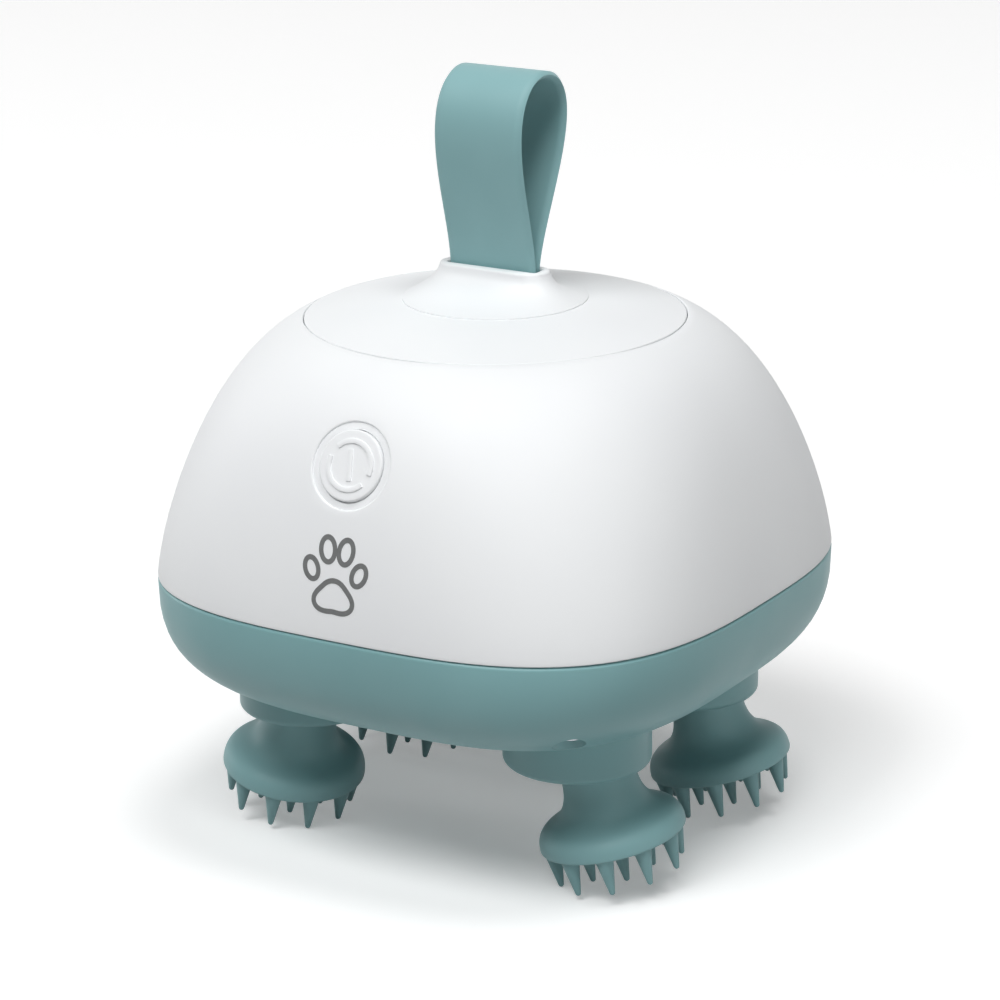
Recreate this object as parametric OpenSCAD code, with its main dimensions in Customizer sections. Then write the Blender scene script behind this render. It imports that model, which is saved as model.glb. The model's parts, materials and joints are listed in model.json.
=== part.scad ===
// Electric pet massager: a palm-held body with four turning silicone massage heads.
// Millimetres. The origin is on the body's axis, on the plane that the tine tips stand on.
// The front (-Y) carries the power button and the back (+Y) the charging pad.

/* [Body] */
// Width of the body across its flat sides
body_w = 106; // [104:1:118]
// Squareness of the plan outline at the seam, where 2 is a circle
plan_power = 3.1; // [2.8:0.1:3.4]
// Height of the white dome above the seam
dome_h = 46; // [44:1:54]
// Depth of the bowl below the seam
bowl_h = 22.6; // [22:0.2:26]
// Thickness of the two shells
wall = 2.4; // [2:0.1:2.8]
// Open joint between the two shells
seam_gap = 0.3; // [0.2:0.05:0.5]
// Height of the lip that centres the shells on each other
lip_h = 2.5; // [1.5:0.25:4]
// Thickness of that lip
lip_t = 0.9; // [0.7:0.1:1.1]

/* [Top cover and strap] */
// Radius of the round cover in the top of the dome
cover_r = 32.9; // [31:0.5:34]
// Gap around the cover
cover_gap = 0.35; // [0.25:0.05:0.6]
// Thickness of the cover at its edge
cover_t = 2.3; // [2:0.1:3]
// How far the cover is crowned
cover_crown = 3.6; // [2.5:0.1:5]
// Radius of the ledge's opening under the cover
ledge_r = 27.5; // [26:0.5:28.5]
// Thickness of the ledge
ledge_t = 2.2; // [1.8:0.1:3]
// Radius of the foot of the strap boss
boss_r = 16; // [14.5:0.5:18]
// Height of the strap boss
boss_h = 5.6; // [4:0.1:7]
// Wall of the boss around the strap slot
boss_wall = 1.7; // [1.4:0.1:2.2]
// Width of the silicone strap
strap_w = 17.1; // [15:0.1:20]
// Thickness of the strap
strap_t = 1.2; // [1.1:0.1:2]
// Height of the strap loop above its boss
strap_h = 33.7; // [30:0.1:42]
// How far the loop bulges to the front
strap_front_bulge = 6.6; // [5:0.1:8]
// How far the loop bulges to the back
strap_back_bulge = 7.8; // [5:0.1:9]
// How far the loop leans back at its top
strap_lean = 3; // [0:0.2:4]
// Diameter of the pin that holds the strap
strap_pin_d = 2.4; // [2:0.1:3]

/* [Power button] */
// Height of the button's centre above the seam
button_rise = 28.4; // [27:0.2:30]
// Diameter of the button cap
button_d = 12; // [10:0.5:13]
// Gap around the cap
button_gap = 0.2; // [0.15:0.05:0.3]
// Width of the recessed ring around the cap
button_ring = 1.25; // [0.8:0.05:1.5]
// Depth of the recessed ring
button_ring_depth = 0.5; // [0.3:0.1:0.7]
// Travel of the button
button_travel = 0.8; // [0.5:0.1:1]
// Diameter of the raised ring of the power symbol
symbol_d = 8; // [6.5:0.25:8.5]
// Line width of the power symbol
symbol_line = 0.9; // [0.6:0.1:1.1]
// Height of the power symbol above the cap
symbol_h = 0.25; // [0.15:0.05:0.4]

/* [Control board] */
// Width of the control board
board_w = 30; // [28:1:34]
// Height of the control board
board_h = 24; // [22:1:26]
// Thickness of the control board
board_t = 1.6; // [1.2:0.2:2]
// Side of the push switch's body
switch_w = 6; // [5:0.5:7]
// Height of the push switch's body
switch_h = 2.4; // [2:0.1:3]
// Diameter of the switch's own plunger
switch_plunger_d = 3.2; // [2.5:0.1:3.5]
// Length of the switch's own plunger
switch_plunger_l = 0.8; // [0.5:0.1:1.2]

/* [Massage heads] */
// Distance of the head spindles in front of and behind the middle
spindle_y = 19.6; // [19:0.1:20.5]
// Radius of the turning collar
collar_r = 12.7; // [12:0.1:13.2]
// Height of the collar
collar_h = 8.7; // [8.1:0.1:9.9]
// Rounding of the collar's lower edge
collar_round = 1.2; // [0.8:0.1:2.5]
// Gap around the collar in its well
collar_gap = 0.4; // [0.3:0.05:0.6]
// How far the collars stand below the bowl
collar_drop = 4.2; // [3.5:0.1:5]
// Wall around each collar well
well_wall = 1.6; // [1.2:0.1:2]
// Tilt of each head
head_tilt = 13; // [9:0.5:16]
// Height above the collar's bottom where head axis and spindle meet
pivot_rise = 13.2; // [11.5:0.1:14.5]
// Distance along the head axis from there to the tine face
head_reach = 27.4; // [26:0.1:31]
// Radius of the head's neck
neck_r = 6.4; // [5.8:0.1:7]
// Distance along the head axis at which the neck begins to flare
flare_start = 15.5; // [14:0.1:17]
// How long the flare holds on to the neck's straight line
flare_hold = 10; // [8:0.2:12]
// How long the disc's side holds on to its upright edge
shoulder_hold = 5.8; // [4:0.2:8]
// Radius of the head's disc
disc_r = 12.75; // [12.4:0.05:13]
// Rounding of the disc's edge at the tine face
edge_round = 0.3; // [0.2:0.05:0.5]
// Number of tines in the outer ring
outer_tines = 10; // [8:1:12]
// Radius of the outer ring of tines
outer_ring_r = 10.7; // [9.5:0.1:10.7]
// Number of tines in the inner ring
inner_tines = 5; // [4:1:7]
// Radius of the inner ring of tines
inner_ring_r = 5.6; // [4.5:0.1:6.5]
// Length of a tine
tine_l = 6.6; // [5:0.1:7]
// Diameter of a tine at its foot
tine_d = 3.2; // [2.4:0.1:3.2]
// Diameter of a tine's rounded tip
tine_tip_d = 1; // [0.6:0.1:1.2]
// Direction in which the right-hand heads lean at rest
head_phase = 21; // [0:1:90]
// Radius of the stiff core in each head
core_r = 3.2; // [2.8:0.1:3.8]
// How far the core reaches into the collar
core_grip = 3.2; // [2.4:0.1:3.4]
// Thickness of the disc below the core
core_cover = 3.4; // [2.5:0.1:4.5]

/* [Drive] */
// Diameter of the head spindles
spindle_d = 5; // [4:0.25:5.5]
// Height at which a spindle begins above the collar's bottom
spindle_foot = 5.1; // [4.9:0.1:5.7]
// Diameter of the flange moulded into the collar
spindle_flange_d = 11; // [9:0.5:13]
// Thickness of that flange
spindle_flange_t = 1.4; // [1:0.1:1.8]
// Wall of the spindle bushes and seals
bush_wall = 2; // [1.6:0.1:2.4]
// Running clearance of a shaft in its bush, on the radius
running_fit = 0.03; // [0.01:0.01:0.08]
// Seating clearance of a pressed or screwed piece, on the radius
seat_fit = 0.02; // [0.01:0.01:0.05]
// Thickness of the ceiling of each collar well
ceiling_t = 2; // [1.6:0.1:2.6]
// Height of the spindle seal
seal_t = 1; // [0.8:0.1:1.4]
// Height of the boss above each well
bush_boss_h = 1.6; // [1.4:0.1:2.4]
// Module of the spindle gears
spindle_module = 1; // [0.98:0.01:1.03]
// Teeth of a spindle gear
spindle_teeth = 32; // [31:1:33]
// Teeth of an idler gear
idler_teeth = 20; // [20:1:21]
// Module of the idler wheel and the reduction pinion
middle_module = 0.6; // [0.58:0.01:0.62]
// Teeth of the wheel above the right idler
idler_wheel_teeth = 48; // [46:1:49]
// Teeth of the reduction pinion
reduction_pinion_teeth = 12; // [12:1:13]
// Module of the motor pinion and the reduction wheel
motor_module = 0.5; // [0.49:0.01:0.51]
// Teeth of the reduction wheel
reduction_wheel_teeth = 60; // [58:1:61]
// Teeth of the motor pinion
motor_pinion_teeth = 10; // [10:1:11]
// Face width of the spindle and idler gears
low_gear_t = 4; // [3:0.1:4.4]
// Face width of the idler wheel and the reduction pinion
middle_gear_t = 3; // [2.4:0.1:3.2]
// Face width of the reduction wheel
high_gear_t = 2.2; // [1.8:0.1:2.4]
// Clear height between gears on different levels
level_gap = 0.6; // [0.5:0.1:0.8]
// End play of gears and bushes
end_play = 0.3; // [0.25:0.05:0.4]
// Diameter of the idler pins
idler_pin_d = 3; // [2.5:0.1:3.2]
// Diameter of the reduction gear's pin
reduction_pin_d = 2.4; // [2:0.1:2.6]
// Thickness of the chassis plate over the gears
plate_t = 2.4; // [2:0.1:3]
// Half width of the chassis plate
plate_half_w = 45.5; // [44:0.5:46.5]

/* [Motor and battery] */
// Diameter of the motor
motor_d = 24; // [22:0.5:25]
// Length of the motor's can
motor_l = 27; // [24:0.5:30]
// Diameter of the motor's nose
motor_nose_d = 8; // [7:0.5:9]
// Diameter of the motor shaft
motor_shaft_d = 2; // [1.5:0.1:2]
// Diameter of the battery cell
cell_d = 18.4; // [18:0.1:19]
// Length of the battery cell
cell_l = 65; // [60:0.5:66]
// Thickness of the battery cradle
cradle_t = 1.5; // [1.2:0.1:2]

/* [Charging pad] */
// Height of the charging pad's centre above the seam
pad_rise = 9.7; // [9:0.1:11]
// Width of the charging pad
pad_w = 18; // [16:0.5:20]
// Height of the charging pad
pad_h = 8; // [7:0.5:9]
// How far the pad's face lies below the shell
pad_recess = 0.7; // [0.5:0.1:1]
// Distance between the two charging contacts
contact_pitch = 8; // [6:0.5:10]
// Diameter of a charging contact
contact_d = 2.2; // [1.8:0.1:2.6]

/* [Leads] */
// Diameter of the insulated leads inside the body
lead_d = 1.2; // [1:0.1:1.5]
// Width of the lead plugs on the board
plug_w = 7; // [6:0.5:8]
// Height of the plugs above the board
plug_h = 4; // [3:0.5:5]

/* [Screws] */
// Thread diameter of the shell screws
shell_screw_d = 2.6; // [2.4:0.1:3]
// Head diameter of the shell screws
shell_screw_head_d = 5; // [4.5:0.1:5.4]
// Length of the shell screws
shell_screw_l = 20; // [18:0.5:22]
// Thread diameter of the chassis screws
chassis_screw_d = 2.2; // [2:0.1:2.6]
// Length of the chassis screws
chassis_screw_l = 8; // [6:0.5:9]
// Thread diameter of the small screws at cover, board and motor
small_screw_d = 1.7; // [1.4:0.1:2]
// Radius of the post for a shell screw
shell_post_r = 3.1; // [3:0.1:3.3]
// How far the shell screws lie inside the plan outline
shell_post_inset = 6.1; // [5.8:0.1:6.4]
// Direction of the shell screws from the middle of the body
shell_post_angle = 46.5; // [45:0.5:48]
// Distance of the chassis screws from the body's axis
chassis_post_x = 38.5; // [38:0.25:40]

/* [Hidden] */
$fn = 48;

// Colours of the moulded parts, as they are seen
white_abs = "#eff1f3";
teal_silicone = "#7ba3a6";
teal_abs = "#789fa2";
steel = "#b9bec2";
brass = "#c9a657";
nylon = "#e6e2d6";
board_green = "#2e6b4a";

// Shape powers of the dome and the bowl in side view
dome_side_power = 5.37;
dome_top_power = 1.34;
bowl_side_power = 3.97;
bowl_floor_power = 2.93;
// Points around a shell, and steps along its height
plan_points = 64;
shell_steps = 11;
// Last angle of the outer dome, inside the cover's opening, and of the bowl, on its flat floor
dome_last_angle = 80;
bowl_last_angle = 86;
// Overshoot of a cut past the face that it opens
past = 1;

// Corners of the four heads, right is +X and front is -Y
front_right = [1, -1];
front_left = [-1, -1];
back_right = [1, 1];
back_left = [-1, 1];
corners = [front_right, front_left, back_right, back_left];
// Directions of the chassis posts, on the middle lines of the body
sides = [0, 90, 180, 270];

// Heights, from the tips of the tines upwards
tine_low_side = max([for (k = [0:outer_tines - 1]) -cos((k + 0.5) * 360 / outer_tines)]);
head_depth = (head_reach + tine_l - tine_tip_d / 2) * cos(head_tilt) + tine_tip_d / 2
    + outer_ring_r * tine_low_side * sin(head_tilt) - pivot_rise;
collar_z = head_depth;
bowl_z = collar_z + collar_drop;
seam_z = bowl_z + bowl_h;
well_top_z = collar_z + collar_h + collar_gap;
floor_z = well_top_z + ceiling_t;
bush_top_z = floor_z + bush_boss_h;
low_gear_z = bush_top_z + end_play;
middle_gear_z = low_gear_z + low_gear_t + level_gap;
high_gear_z = middle_gear_z + middle_gear_t + level_gap;
plate_z = high_gear_z + high_gear_t + level_gap + end_play;
plate_top_z = plate_z + plate_t;

// Plan positions of the gear train
half_w = body_w / 2;
idler_x = idler_teeth * spindle_module / 2;
spindle_distance = (spindle_teeth + idler_teeth) * spindle_module / 2;
spindle_x = idler_x + sqrt(pow(spindle_distance, 2) - pow(spindle_y, 2));
middle_distance = (idler_wheel_teeth + reduction_pinion_teeth) * middle_module / 2;
motor_distance = (reduction_wheel_teeth + motor_pinion_teeth) * motor_module / 2;
reduction_x = (pow(motor_distance, 2) - pow(middle_distance, 2) + pow(idler_x, 2)) / (2 * idler_x);
reduction_y = sqrt(pow(motor_distance, 2) - pow(reduction_x, 2));

// Tooth form: a stub involute with a wide pressure angle, so that ten teeth need no undercut
pressure_angle = 25;
tooth_addendum = 0.8;
tooth_dedendum = 1.05;
tooth_backlash = 0.18;

// Lip on the lower shell, and the room around it
lip_gap = 0.15;
lip_inner = half_w - wall;
lip_room_h = lip_h + 2 * lip_gap;

// Posts for the screws and the gear pins
shell_post = plan_point(half_w - shell_post_inset, plan_power, shell_post_angle);
chassis_post_r = 2.8;
idler_post_r = 3.4;
reduction_post_r = 2.8;
post_grip = 6;
plate_notch_gap = 0.6;
hub_wall = 1.2;
slim_hub_wall = 0.6;

// Screw heads
head_t = 1.3;
shell_screw_seat_h = 9.6;
shell_screw_head_z = bowl_z + shell_screw_seat_h;
shell_screw_tip_z = shell_screw_head_z + shell_screw_l;
shell_post_top_z = shell_screw_tip_z + 8;
chassis_head_d = 4.4;
small_head_d = 3.4;
small_head_t = 1;

// Cover: its seat, its crown and the boss on it
cover_seat_r = cover_r + cover_gap;
ledge_z = seam_z + dome_height_at(cover_r / half_w) - cover_t;
ledge_under_z = ledge_z - ledge_t;
cover_edge_z = ledge_z + cover_t;
crown_power = 2.4;
cover_skin = 2.2;
boss_z = cover_z_at(boss_r);
boss_top_z = boss_z + boss_h;
boss_sink = 0.6;
slot_gap = 0.3;
strap_layer_gap = 0.1;
slot_w = strap_w + 2 * slot_gap;
slot_t = 2 * strap_t + 2 * slot_gap + strap_layer_gap;
boss_half_l = slot_w / 2 + boss_wall;
boss_half_w = slot_t / 2 + boss_wall;
cover_screw_r = (cover_r + ledge_r) / 2;
cover_screw_l = ledge_t + cover_t * 0.75;
cover_screw_angles = [45, 135, 225, 315];

// Strap: the eye on its tail goes round the pin in the socket under the cover
strap_power = 2;
strap_lean_power = 1.3;
strap_steps = 44;
// Turn of the loop, from its foot, at which its two layers part
strap_split = 14;
eye_wall = 1.5;
eye_r = strap_pin_d / 2 + eye_wall;
pin_z = ledge_z - 1;
socket_cheek = 2.4;
socket_l = slot_w + 2 * socket_cheek;
socket_w = 2 * (eye_r + slot_gap) + 2 * socket_cheek;
socket_z = pin_z - eye_r - slot_gap;
strap_shape_peak = strap_shape(acos(-strap_power / (2 + strap_power)));

// Button: local +Z points out of the shell along the surface's normal
button_half_w = half_w * dome_fraction_at(button_rise);
button_tilt = dome_normal_tilt(button_rise);
button_bore_r = button_d / 2 + button_gap;
button_flange_r = button_d / 2 + 1;
button_flange_t = 1;
button_seat_r = button_flange_r + 2;
button_seal_t = 0.7;
button_seal_gap = 0.05;
button_flange_z = -wall - button_seal_t - button_seal_gap;
button_stem_r = 1.6;
button_stem_l = 1.8;
button_stem_z = button_flange_z - button_flange_t - button_stem_l;
switch_top_z = button_stem_z - button_travel - button_seal_gap;
board_z = switch_top_z - switch_plunger_l - switch_h;
board_post_r = 2.2;
board_edge = 3;
board_post_x = board_w / 2 - board_edge;
board_post_y = board_h / 2 - board_edge;
board_screw_l = board_t + 4;
symbol_slant = 8;
symbol_bar_l = 4.2;
symbol_break = 28;

// Charging pad: its axis is +Y
pad_half_w = half_w * dome_fraction_at(pad_rise);
pad_z = seam_z + pad_rise;
pad_face_y = pad_half_w - pad_recess;
pad_seat_y = pad_half_w - wall - 0.6;
pad_flange = 2;
pad_flange_t = 1.2;
pad_gap = 0.2;
pad_rim = 1.1;
pad_seat_rim = 3;
contact_tail = 1.5;

// Motor and battery on the chassis plate
motor_nose_h = 1.5;
motor_boss_d = 10;
motor_boss_h = 2;
motor_screw_r = 8;
motor_screw_l = plate_t + 1.6;
motor_terminal = [0.5, 3, 5];
shaft_end_gap = 1;
battery_gap = 1.5;
cell_y = motor_d / 2 + battery_gap + cradle_t + cell_d / 2;
cell_z = plate_top_z + cradle_t + cell_d / 2;
cell_gap = 0.15;
cell_nub_d = 6;
cell_nub_l = 0.8;
cradle_l = cell_l + 2 * (cell_nub_l + cell_gap) + 2 * cradle_t;
cradle_w = cell_d + 2 * cradle_t;
cradle_h = cell_d * 0.5;

// Plugs on the board: two near its top edge and one near its bottom edge
plug_depth = 4;
upper_plug_x = 7;
upper_plug_y = board_h / 2 - 7;
lower_plug_y = -board_h / 2 + 5;
plug_face_z = board_z - board_t - plug_h;

// Routes of the leads inside the body, between their fixed ends
lead_sides = 8;
lead_steps = 4;
lead_spread = 1.1;
terminal_x = motor_boss_d / 2 + 2.5;
terminal_z = plate_top_z + motor_l + motor_terminal[2] - 0.1;
lead_rise = 5.4;
contact_back_y = pad_seat_y - pad_flange_t - contact_tail;
motor_route_left = [[-8, -20, 77], [-8, -10, 82]];
motor_route_right = [[-6, -20, 78.5], [0, -10, 83.5]];
battery_route_left = [
    [-35.5, 23, 66], [-37, 16, 68], [-34, 4, 70], [-25, -10, 70], [-14, -20, 68], [-2, -24, 68], [4, -25, 70]
];
battery_route_right = [
    [35.5, 23, 66], [37, 16, 68], [34, 4, 70], [26, -9, 70], [16, -20, 70], [10, -25, 71.5]
];
charge_route_left = [
    [0, 41, 60], [12, 41, 64], [29, 38, 65], [37, 29, 65], [40, 18, 65],
    [40, 4, 65], [34, -14, 65], [20, -27, 66], [8, -29, 68], [0, -29.5, 66.8]
];
charge_route_right = [
    [7, 42, 58], [15, 41, 59], [29, 38, 60], [37, 29, 61], [40, 18, 61],
    [40, 4, 61], [34, -14, 61], [20, -27, 62], [7, -31, 62]
];

// Fraction of the body's half width at a height above the seam
function dome_fraction_at(h) = pow(1 - pow(h / dome_h, dome_top_power), 1 / dome_side_power);

// Height above the seam at a fraction of the body's half width
function dome_height_at(f) = dome_h * pow(1 - pow(f, dome_side_power), 1 / dome_top_power);

// Angle by which the dome's normal points up at a height above the seam, on its middle line
function dome_normal_tilt(h) = atan2(
    dome_top_power * pow(h / dome_h, dome_top_power - 1) / dome_h,
    dome_side_power * pow(dome_fraction_at(h), dome_side_power - 1) / half_w
);

// Power of the plan outline: square at the seam and round towards the top
function plan_power_at(f, side_power) = 2 + (plan_power - 2) * pow(f, side_power);

// Point of the plan outline with half width a, at an angle
function plan_point(a, n, angle) =
    a / pow(pow(abs(cos(angle)), n) + pow(abs(sin(angle)), n), 1 / n) * [cos(angle), sin(angle)];

// Whole plan outline
function plan_outline(a, n) = [for (i = [0:plan_points - 1]) plan_point(a, n, i * 360 / plan_points)];

// The same outline as a ring at a height
function plan_ring(a, n, z) = [for (p = plan_outline(a, n)) [p[0], p[1], z]];

// Rings of a dome surface from its foot up to a last angle
function dome_rings(a, h, last) = [
    for (k = [0:shell_steps])
    let (t = last * k / shell_steps)
    let (f = pow(cos(t), 2 / dome_side_power))
    plan_ring(a * f, plan_power_at(f, dome_side_power), seam_z + h * pow(sin(t), 2 / dome_top_power))
];

// Rings of a bowl surface from its floor up to the seam
function bowl_rings(a, h) = [
    for (k = [0:shell_steps])
    let (t = bowl_last_angle * pow(1 - k / shell_steps, 0.8))
    let (f = pow(cos(t), 2 / bowl_side_power))
    plan_ring(a * f, plan_power, seam_z - h * pow(sin(t), 2 / bowl_floor_power))
];

// Height of the cover's upper face at a radius
function cover_z_at(r) = cover_edge_z + cover_crown * (1 - pow(r / cover_r, crown_power));

// Outline of a slot with round ends, as a ring
function stadium_ring(half_l, half_w, z) = [
    for (i = [0:plan_points - 1])
    let (angle = (i + 0.5) * 360 / plan_points)
    [(half_l - half_w) * sign(cos(angle)) + half_w * cos(angle), half_w * sin(angle), z]
];

// Sideways shape of the strap loop, where t runs from the foot over the top to the foot again
function strap_shape(t) = sin(t) * pow(abs(sin(t / 2)), strap_power);

// Middle line of the strap loop as [y, z]
function strap_line(t) =
    let (rise = (1 - cos(t)) / 2)
    let (layer = (strap_t + strap_layer_gap) / 2 * cos(t / 2))
    let (bulge = t < 180 ? strap_front_bulge : strap_back_bulge)
    [
        strap_lean * pow(rise, strap_lean_power) - layer
            - bulge * strap_shape(t) / strap_shape_peak,
        boss_top_z + (strap_h - strap_t / 2) * rise
    ];

// Edge of the strap at a distance from its middle line
function strap_edge(t, side) =
    let (ahead = strap_line(t + 0.5) - strap_line(t - 0.5))
    let (along = ahead / norm(ahead))
    strap_line(t) + side * [-along[1], along[0]];

// Unwound angle of an involute between its base circle and a radius
function involute(base, r) = let (a = acos(min(1, base / r))) tan(a) * 180 / PI - a;

// Half of a tooth's angle at a radius
function tooth_half_angle(teeth, m, r) =
    let (pitch = teeth * m / 2)
    let (base = pitch * cos(pressure_angle))
    90 / teeth - tooth_backlash * m / 4 / pitch * 180 / PI
        + involute(base, pitch) - involute(base, max(r, base));

// Radii of the points of a flank, from root to tip
function flank_radii(teeth, m) =
    let (pitch = teeth * m / 2)
    let (base = pitch * cos(pressure_angle))
    let (root = pitch - tooth_dedendum * m)
    let (tip = pitch + tooth_addendum * m)
    let (start = max(root, base))
    concat(start > root + 0.01 ? [root] : [], [start, (start + tip) / 2, tip]);

// Outline of a spur gear with a tooth centred at an angle
function gear_outline(teeth, m, phase) =
    let (radii = flank_radii(teeth, m))
    let (last = len(radii) - 1)
    [
        for (i = [0:teeth - 1])
        for (k = [0:2 * last + 1])
        let (r = radii[k <= last ? k : 2 * last + 1 - k])
        let (half = tooth_half_angle(teeth, m, r))
        let (angle = phase + i * 360 / teeth + (k <= last ? -half : half))
        r * [cos(angle), sin(angle)]
    ];

// Phase of a gear that meshes with another one in a direction
function mesh_phase(phase, teeth, other_teeth, direction) =
    direction + 180 + (direction - phase) * teeth / other_teeth + 180 / other_teeth;

// Place and rest direction of a head
function spindle_place(corner) = [corner[0] * spindle_x, corner[1] * spindle_y, 0];
function rest_direction(corner) = corner[0] > 0 ? head_phase : 180 - head_phase;

// Phases of the idlers, and of a spindle gear
left_idler_phase = mesh_phase(0, idler_teeth, idler_teeth, 180);
function spindle_gear_phase(corner) =
    let (idler = corner[0] > 0 ? 0 : left_idler_phase)
    let (direction = atan2(corner[1] * spindle_y, corner[0] * (spindle_x - idler_x)))
    mesh_phase(idler, idler_teeth, spindle_teeth, direction);

// Point of a smooth curve through hand-set points, between point i and the next
function curve_point(p, i, f) =
    let (a = p[max(i - 1, 0)])
    let (b = p[i])
    let (c = p[i + 1])
    let (d = p[min(i + 2, len(p) - 1)])
    (2 * b + (c - a) * f + (2 * a - 5 * b + 4 * c - d) * f * f + (3 * b - a - 3 * c + d) * f * f * f) / 2;

// Smooth curve through hand-set points
function curve(p) = concat(
    [for (i = [0:len(p) - 2]) for (k = [0:lead_steps - 1]) curve_point(p, i, k / lead_steps)],
    [p[len(p) - 1]]
);

// Point of a curve that starts and ends along its handles
function bezier_point(p, f) =
    pow(1 - f, 3) * p[0] + 3 * pow(1 - f, 2) * f * p[1] + 3 * (1 - f) * pow(f, 2) * p[2] + pow(f, 3) * p[3];

// Rings of a lead along a curve, squared up to a direction that the curve never takes
function lead_rings(line, side_on) = [
    for (i = [0:len(line) - 1])
    let (ahead = line[min(i + 1, len(line) - 1)] - line[max(i - 1, 0)])
    let (along = ahead / norm(ahead))
    let (u = cross(along, side_on) / norm(cross(along, side_on)))
    let (v = cross(along, u))
    [
        for (k = [0:lead_sides - 1])
        let (a = k * 360 / lead_sides)
        line[i] + lead_d / 2 * (cos(a) * u + sin(a) * v)
    ]
];

// Place on the board: across it, up it and out of the shell
function board_point(x, y, z) = [
    x,
    -button_half_w + y * sin(button_tilt) - z * cos(button_tilt),
    seam_z + button_rise + y * cos(button_tilt) + z * sin(button_tilt)
];

// Closed solid through a list of rings, from the lowest to the highest
module loft(rings) {
    count = len(rings[0]);
    last = len(rings) - 1;
    side_faces = [
        for (k = [0:last - 1])
        for (i = [0:count - 1])
        let (j = (i + 1) % count)
        each [
            [k * count + i, (k + 1) * count + i, (k + 1) * count + j],
            [k * count + i, (k + 1) * count + j, k * count + j]
        ]
    ];
    floor_face = [for (i = [0:count - 1]) i];
    roof_face = [for (i = [count - 1:-1:0]) last * count + i];
    polyhedron([for (ring = rings) each ring], concat([floor_face], side_faces, [roof_face]));
}

// Prism on the plan outline
module plan_prism(a, z, h) {
    translate([0, 0, z]) linear_extrude(h) polygon(plan_outline(a, plan_power));
}

// Ring between two plan outlines
module plan_band(inner, outer, z, h) {
    translate([0, 0, z]) linear_extrude(h) difference() {
        polygon(plan_outline(outer, plan_power));
        polygon(plan_outline(inner, plan_power));
    }
}

// Flat ring with a bore
module ring(outer_r, inner_r, h) {
    difference() {
        cylinder(r = outer_r, h = h);
        translate([0, 0, -past]) cylinder(r = inner_r, h = h + 2 * past);
    }
}

// Spur gear without a bore
module gear_body(teeth, m, phase, h) {
    linear_extrude(h) polygon(gear_outline(teeth, m, phase));
}

// Stadium-shaped prism along Y
module stadium_block(w, h, depth) {
    rotate([-90, 0, 0]) linear_extrude(depth) {
        square([w - h, h], center = true);
        for (side = [-1, 1]) translate([side * (w - h) / 2, 0]) circle(d = h);
    }
}

// Pan-head screw along -Z, with the underside of its head at the origin
module screw(thread_d, head_d, head_h, length) {
    translate([0, 0, -length]) cylinder(d = thread_d, h = length + head_h / 2);
    difference() {
        cylinder(d = head_d, h = head_h);
        translate([0, 0, head_h / 2]) cross_recess(head_d, head_h);
    }
}

// Cross recess of a screw head
module cross_recess(head_d, depth) {
    for (turn = [0, 90]) rotate(turn) {
        translate([-head_d * 0.28, -head_d * 0.07, 0]) cube([head_d * 0.56, head_d * 0.14, depth]);
    }
}

module at_spindle(corner) {
    translate(spindle_place(corner)) children();
}

module at_button() {
    translate([0, -button_half_w, seam_z + button_rise]) rotate([90 - button_tilt, 0, 0]) children();
}

module at_board_posts() {
    for (x = [-1, 1], y = [-1, 1]) translate([x * board_post_x, y * board_post_y, 0]) children();
}

module at_shell_posts() {
    for (x = [-1, 1], y = [-1, 1]) translate([x * shell_post[0], y * shell_post[1], 0]) children();
}

module at_side_posts(distance) {
    for (side = sides) rotate(side) translate([distance, 0, 0]) children();
}

// Frame of a head: the spindle's place, its rest direction and its tilt about the pivot
module at_head(corner) {
    at_spindle(corner)
        rotate(rest_direction(corner))
        translate([0, 0, collar_z + pivot_rise])
        rotate([0, -head_tilt, 0])
        children();
}

module dome_cavity() {
    inner_w = half_w - wall;
    inner_h = dome_h - wall;
    last = asin(pow((ledge_under_z - seam_z) / inner_h, dome_top_power / 2));
    foot = plan_ring(inner_w, plan_power, seam_z - past);
    difference() {
        loft(concat([foot], dome_rings(inner_w, inner_h, last)));
        at_shell_posts() translate([0, 0, seam_z + seam_gap / 2]) {
            cylinder(r = shell_post_r, h = shell_post_top_z - seam_z - seam_gap / 2);
        }
        at_button() translate([0, 0, -wall]) cylinder(r = button_seat_r, h = 2 * wall);
        at_button() at_board_posts() translate([0, 0, board_z]) cylinder(r = board_post_r, h = -board_z);
        translate([-pad_w / 2 - pad_seat_rim, pad_seat_y, pad_z - pad_h / 2 - pad_seat_rim]) {
            cube([pad_w + 2 * pad_seat_rim, wall + 2, pad_h + 2 * pad_seat_rim]);
        }
    }
}

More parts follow.
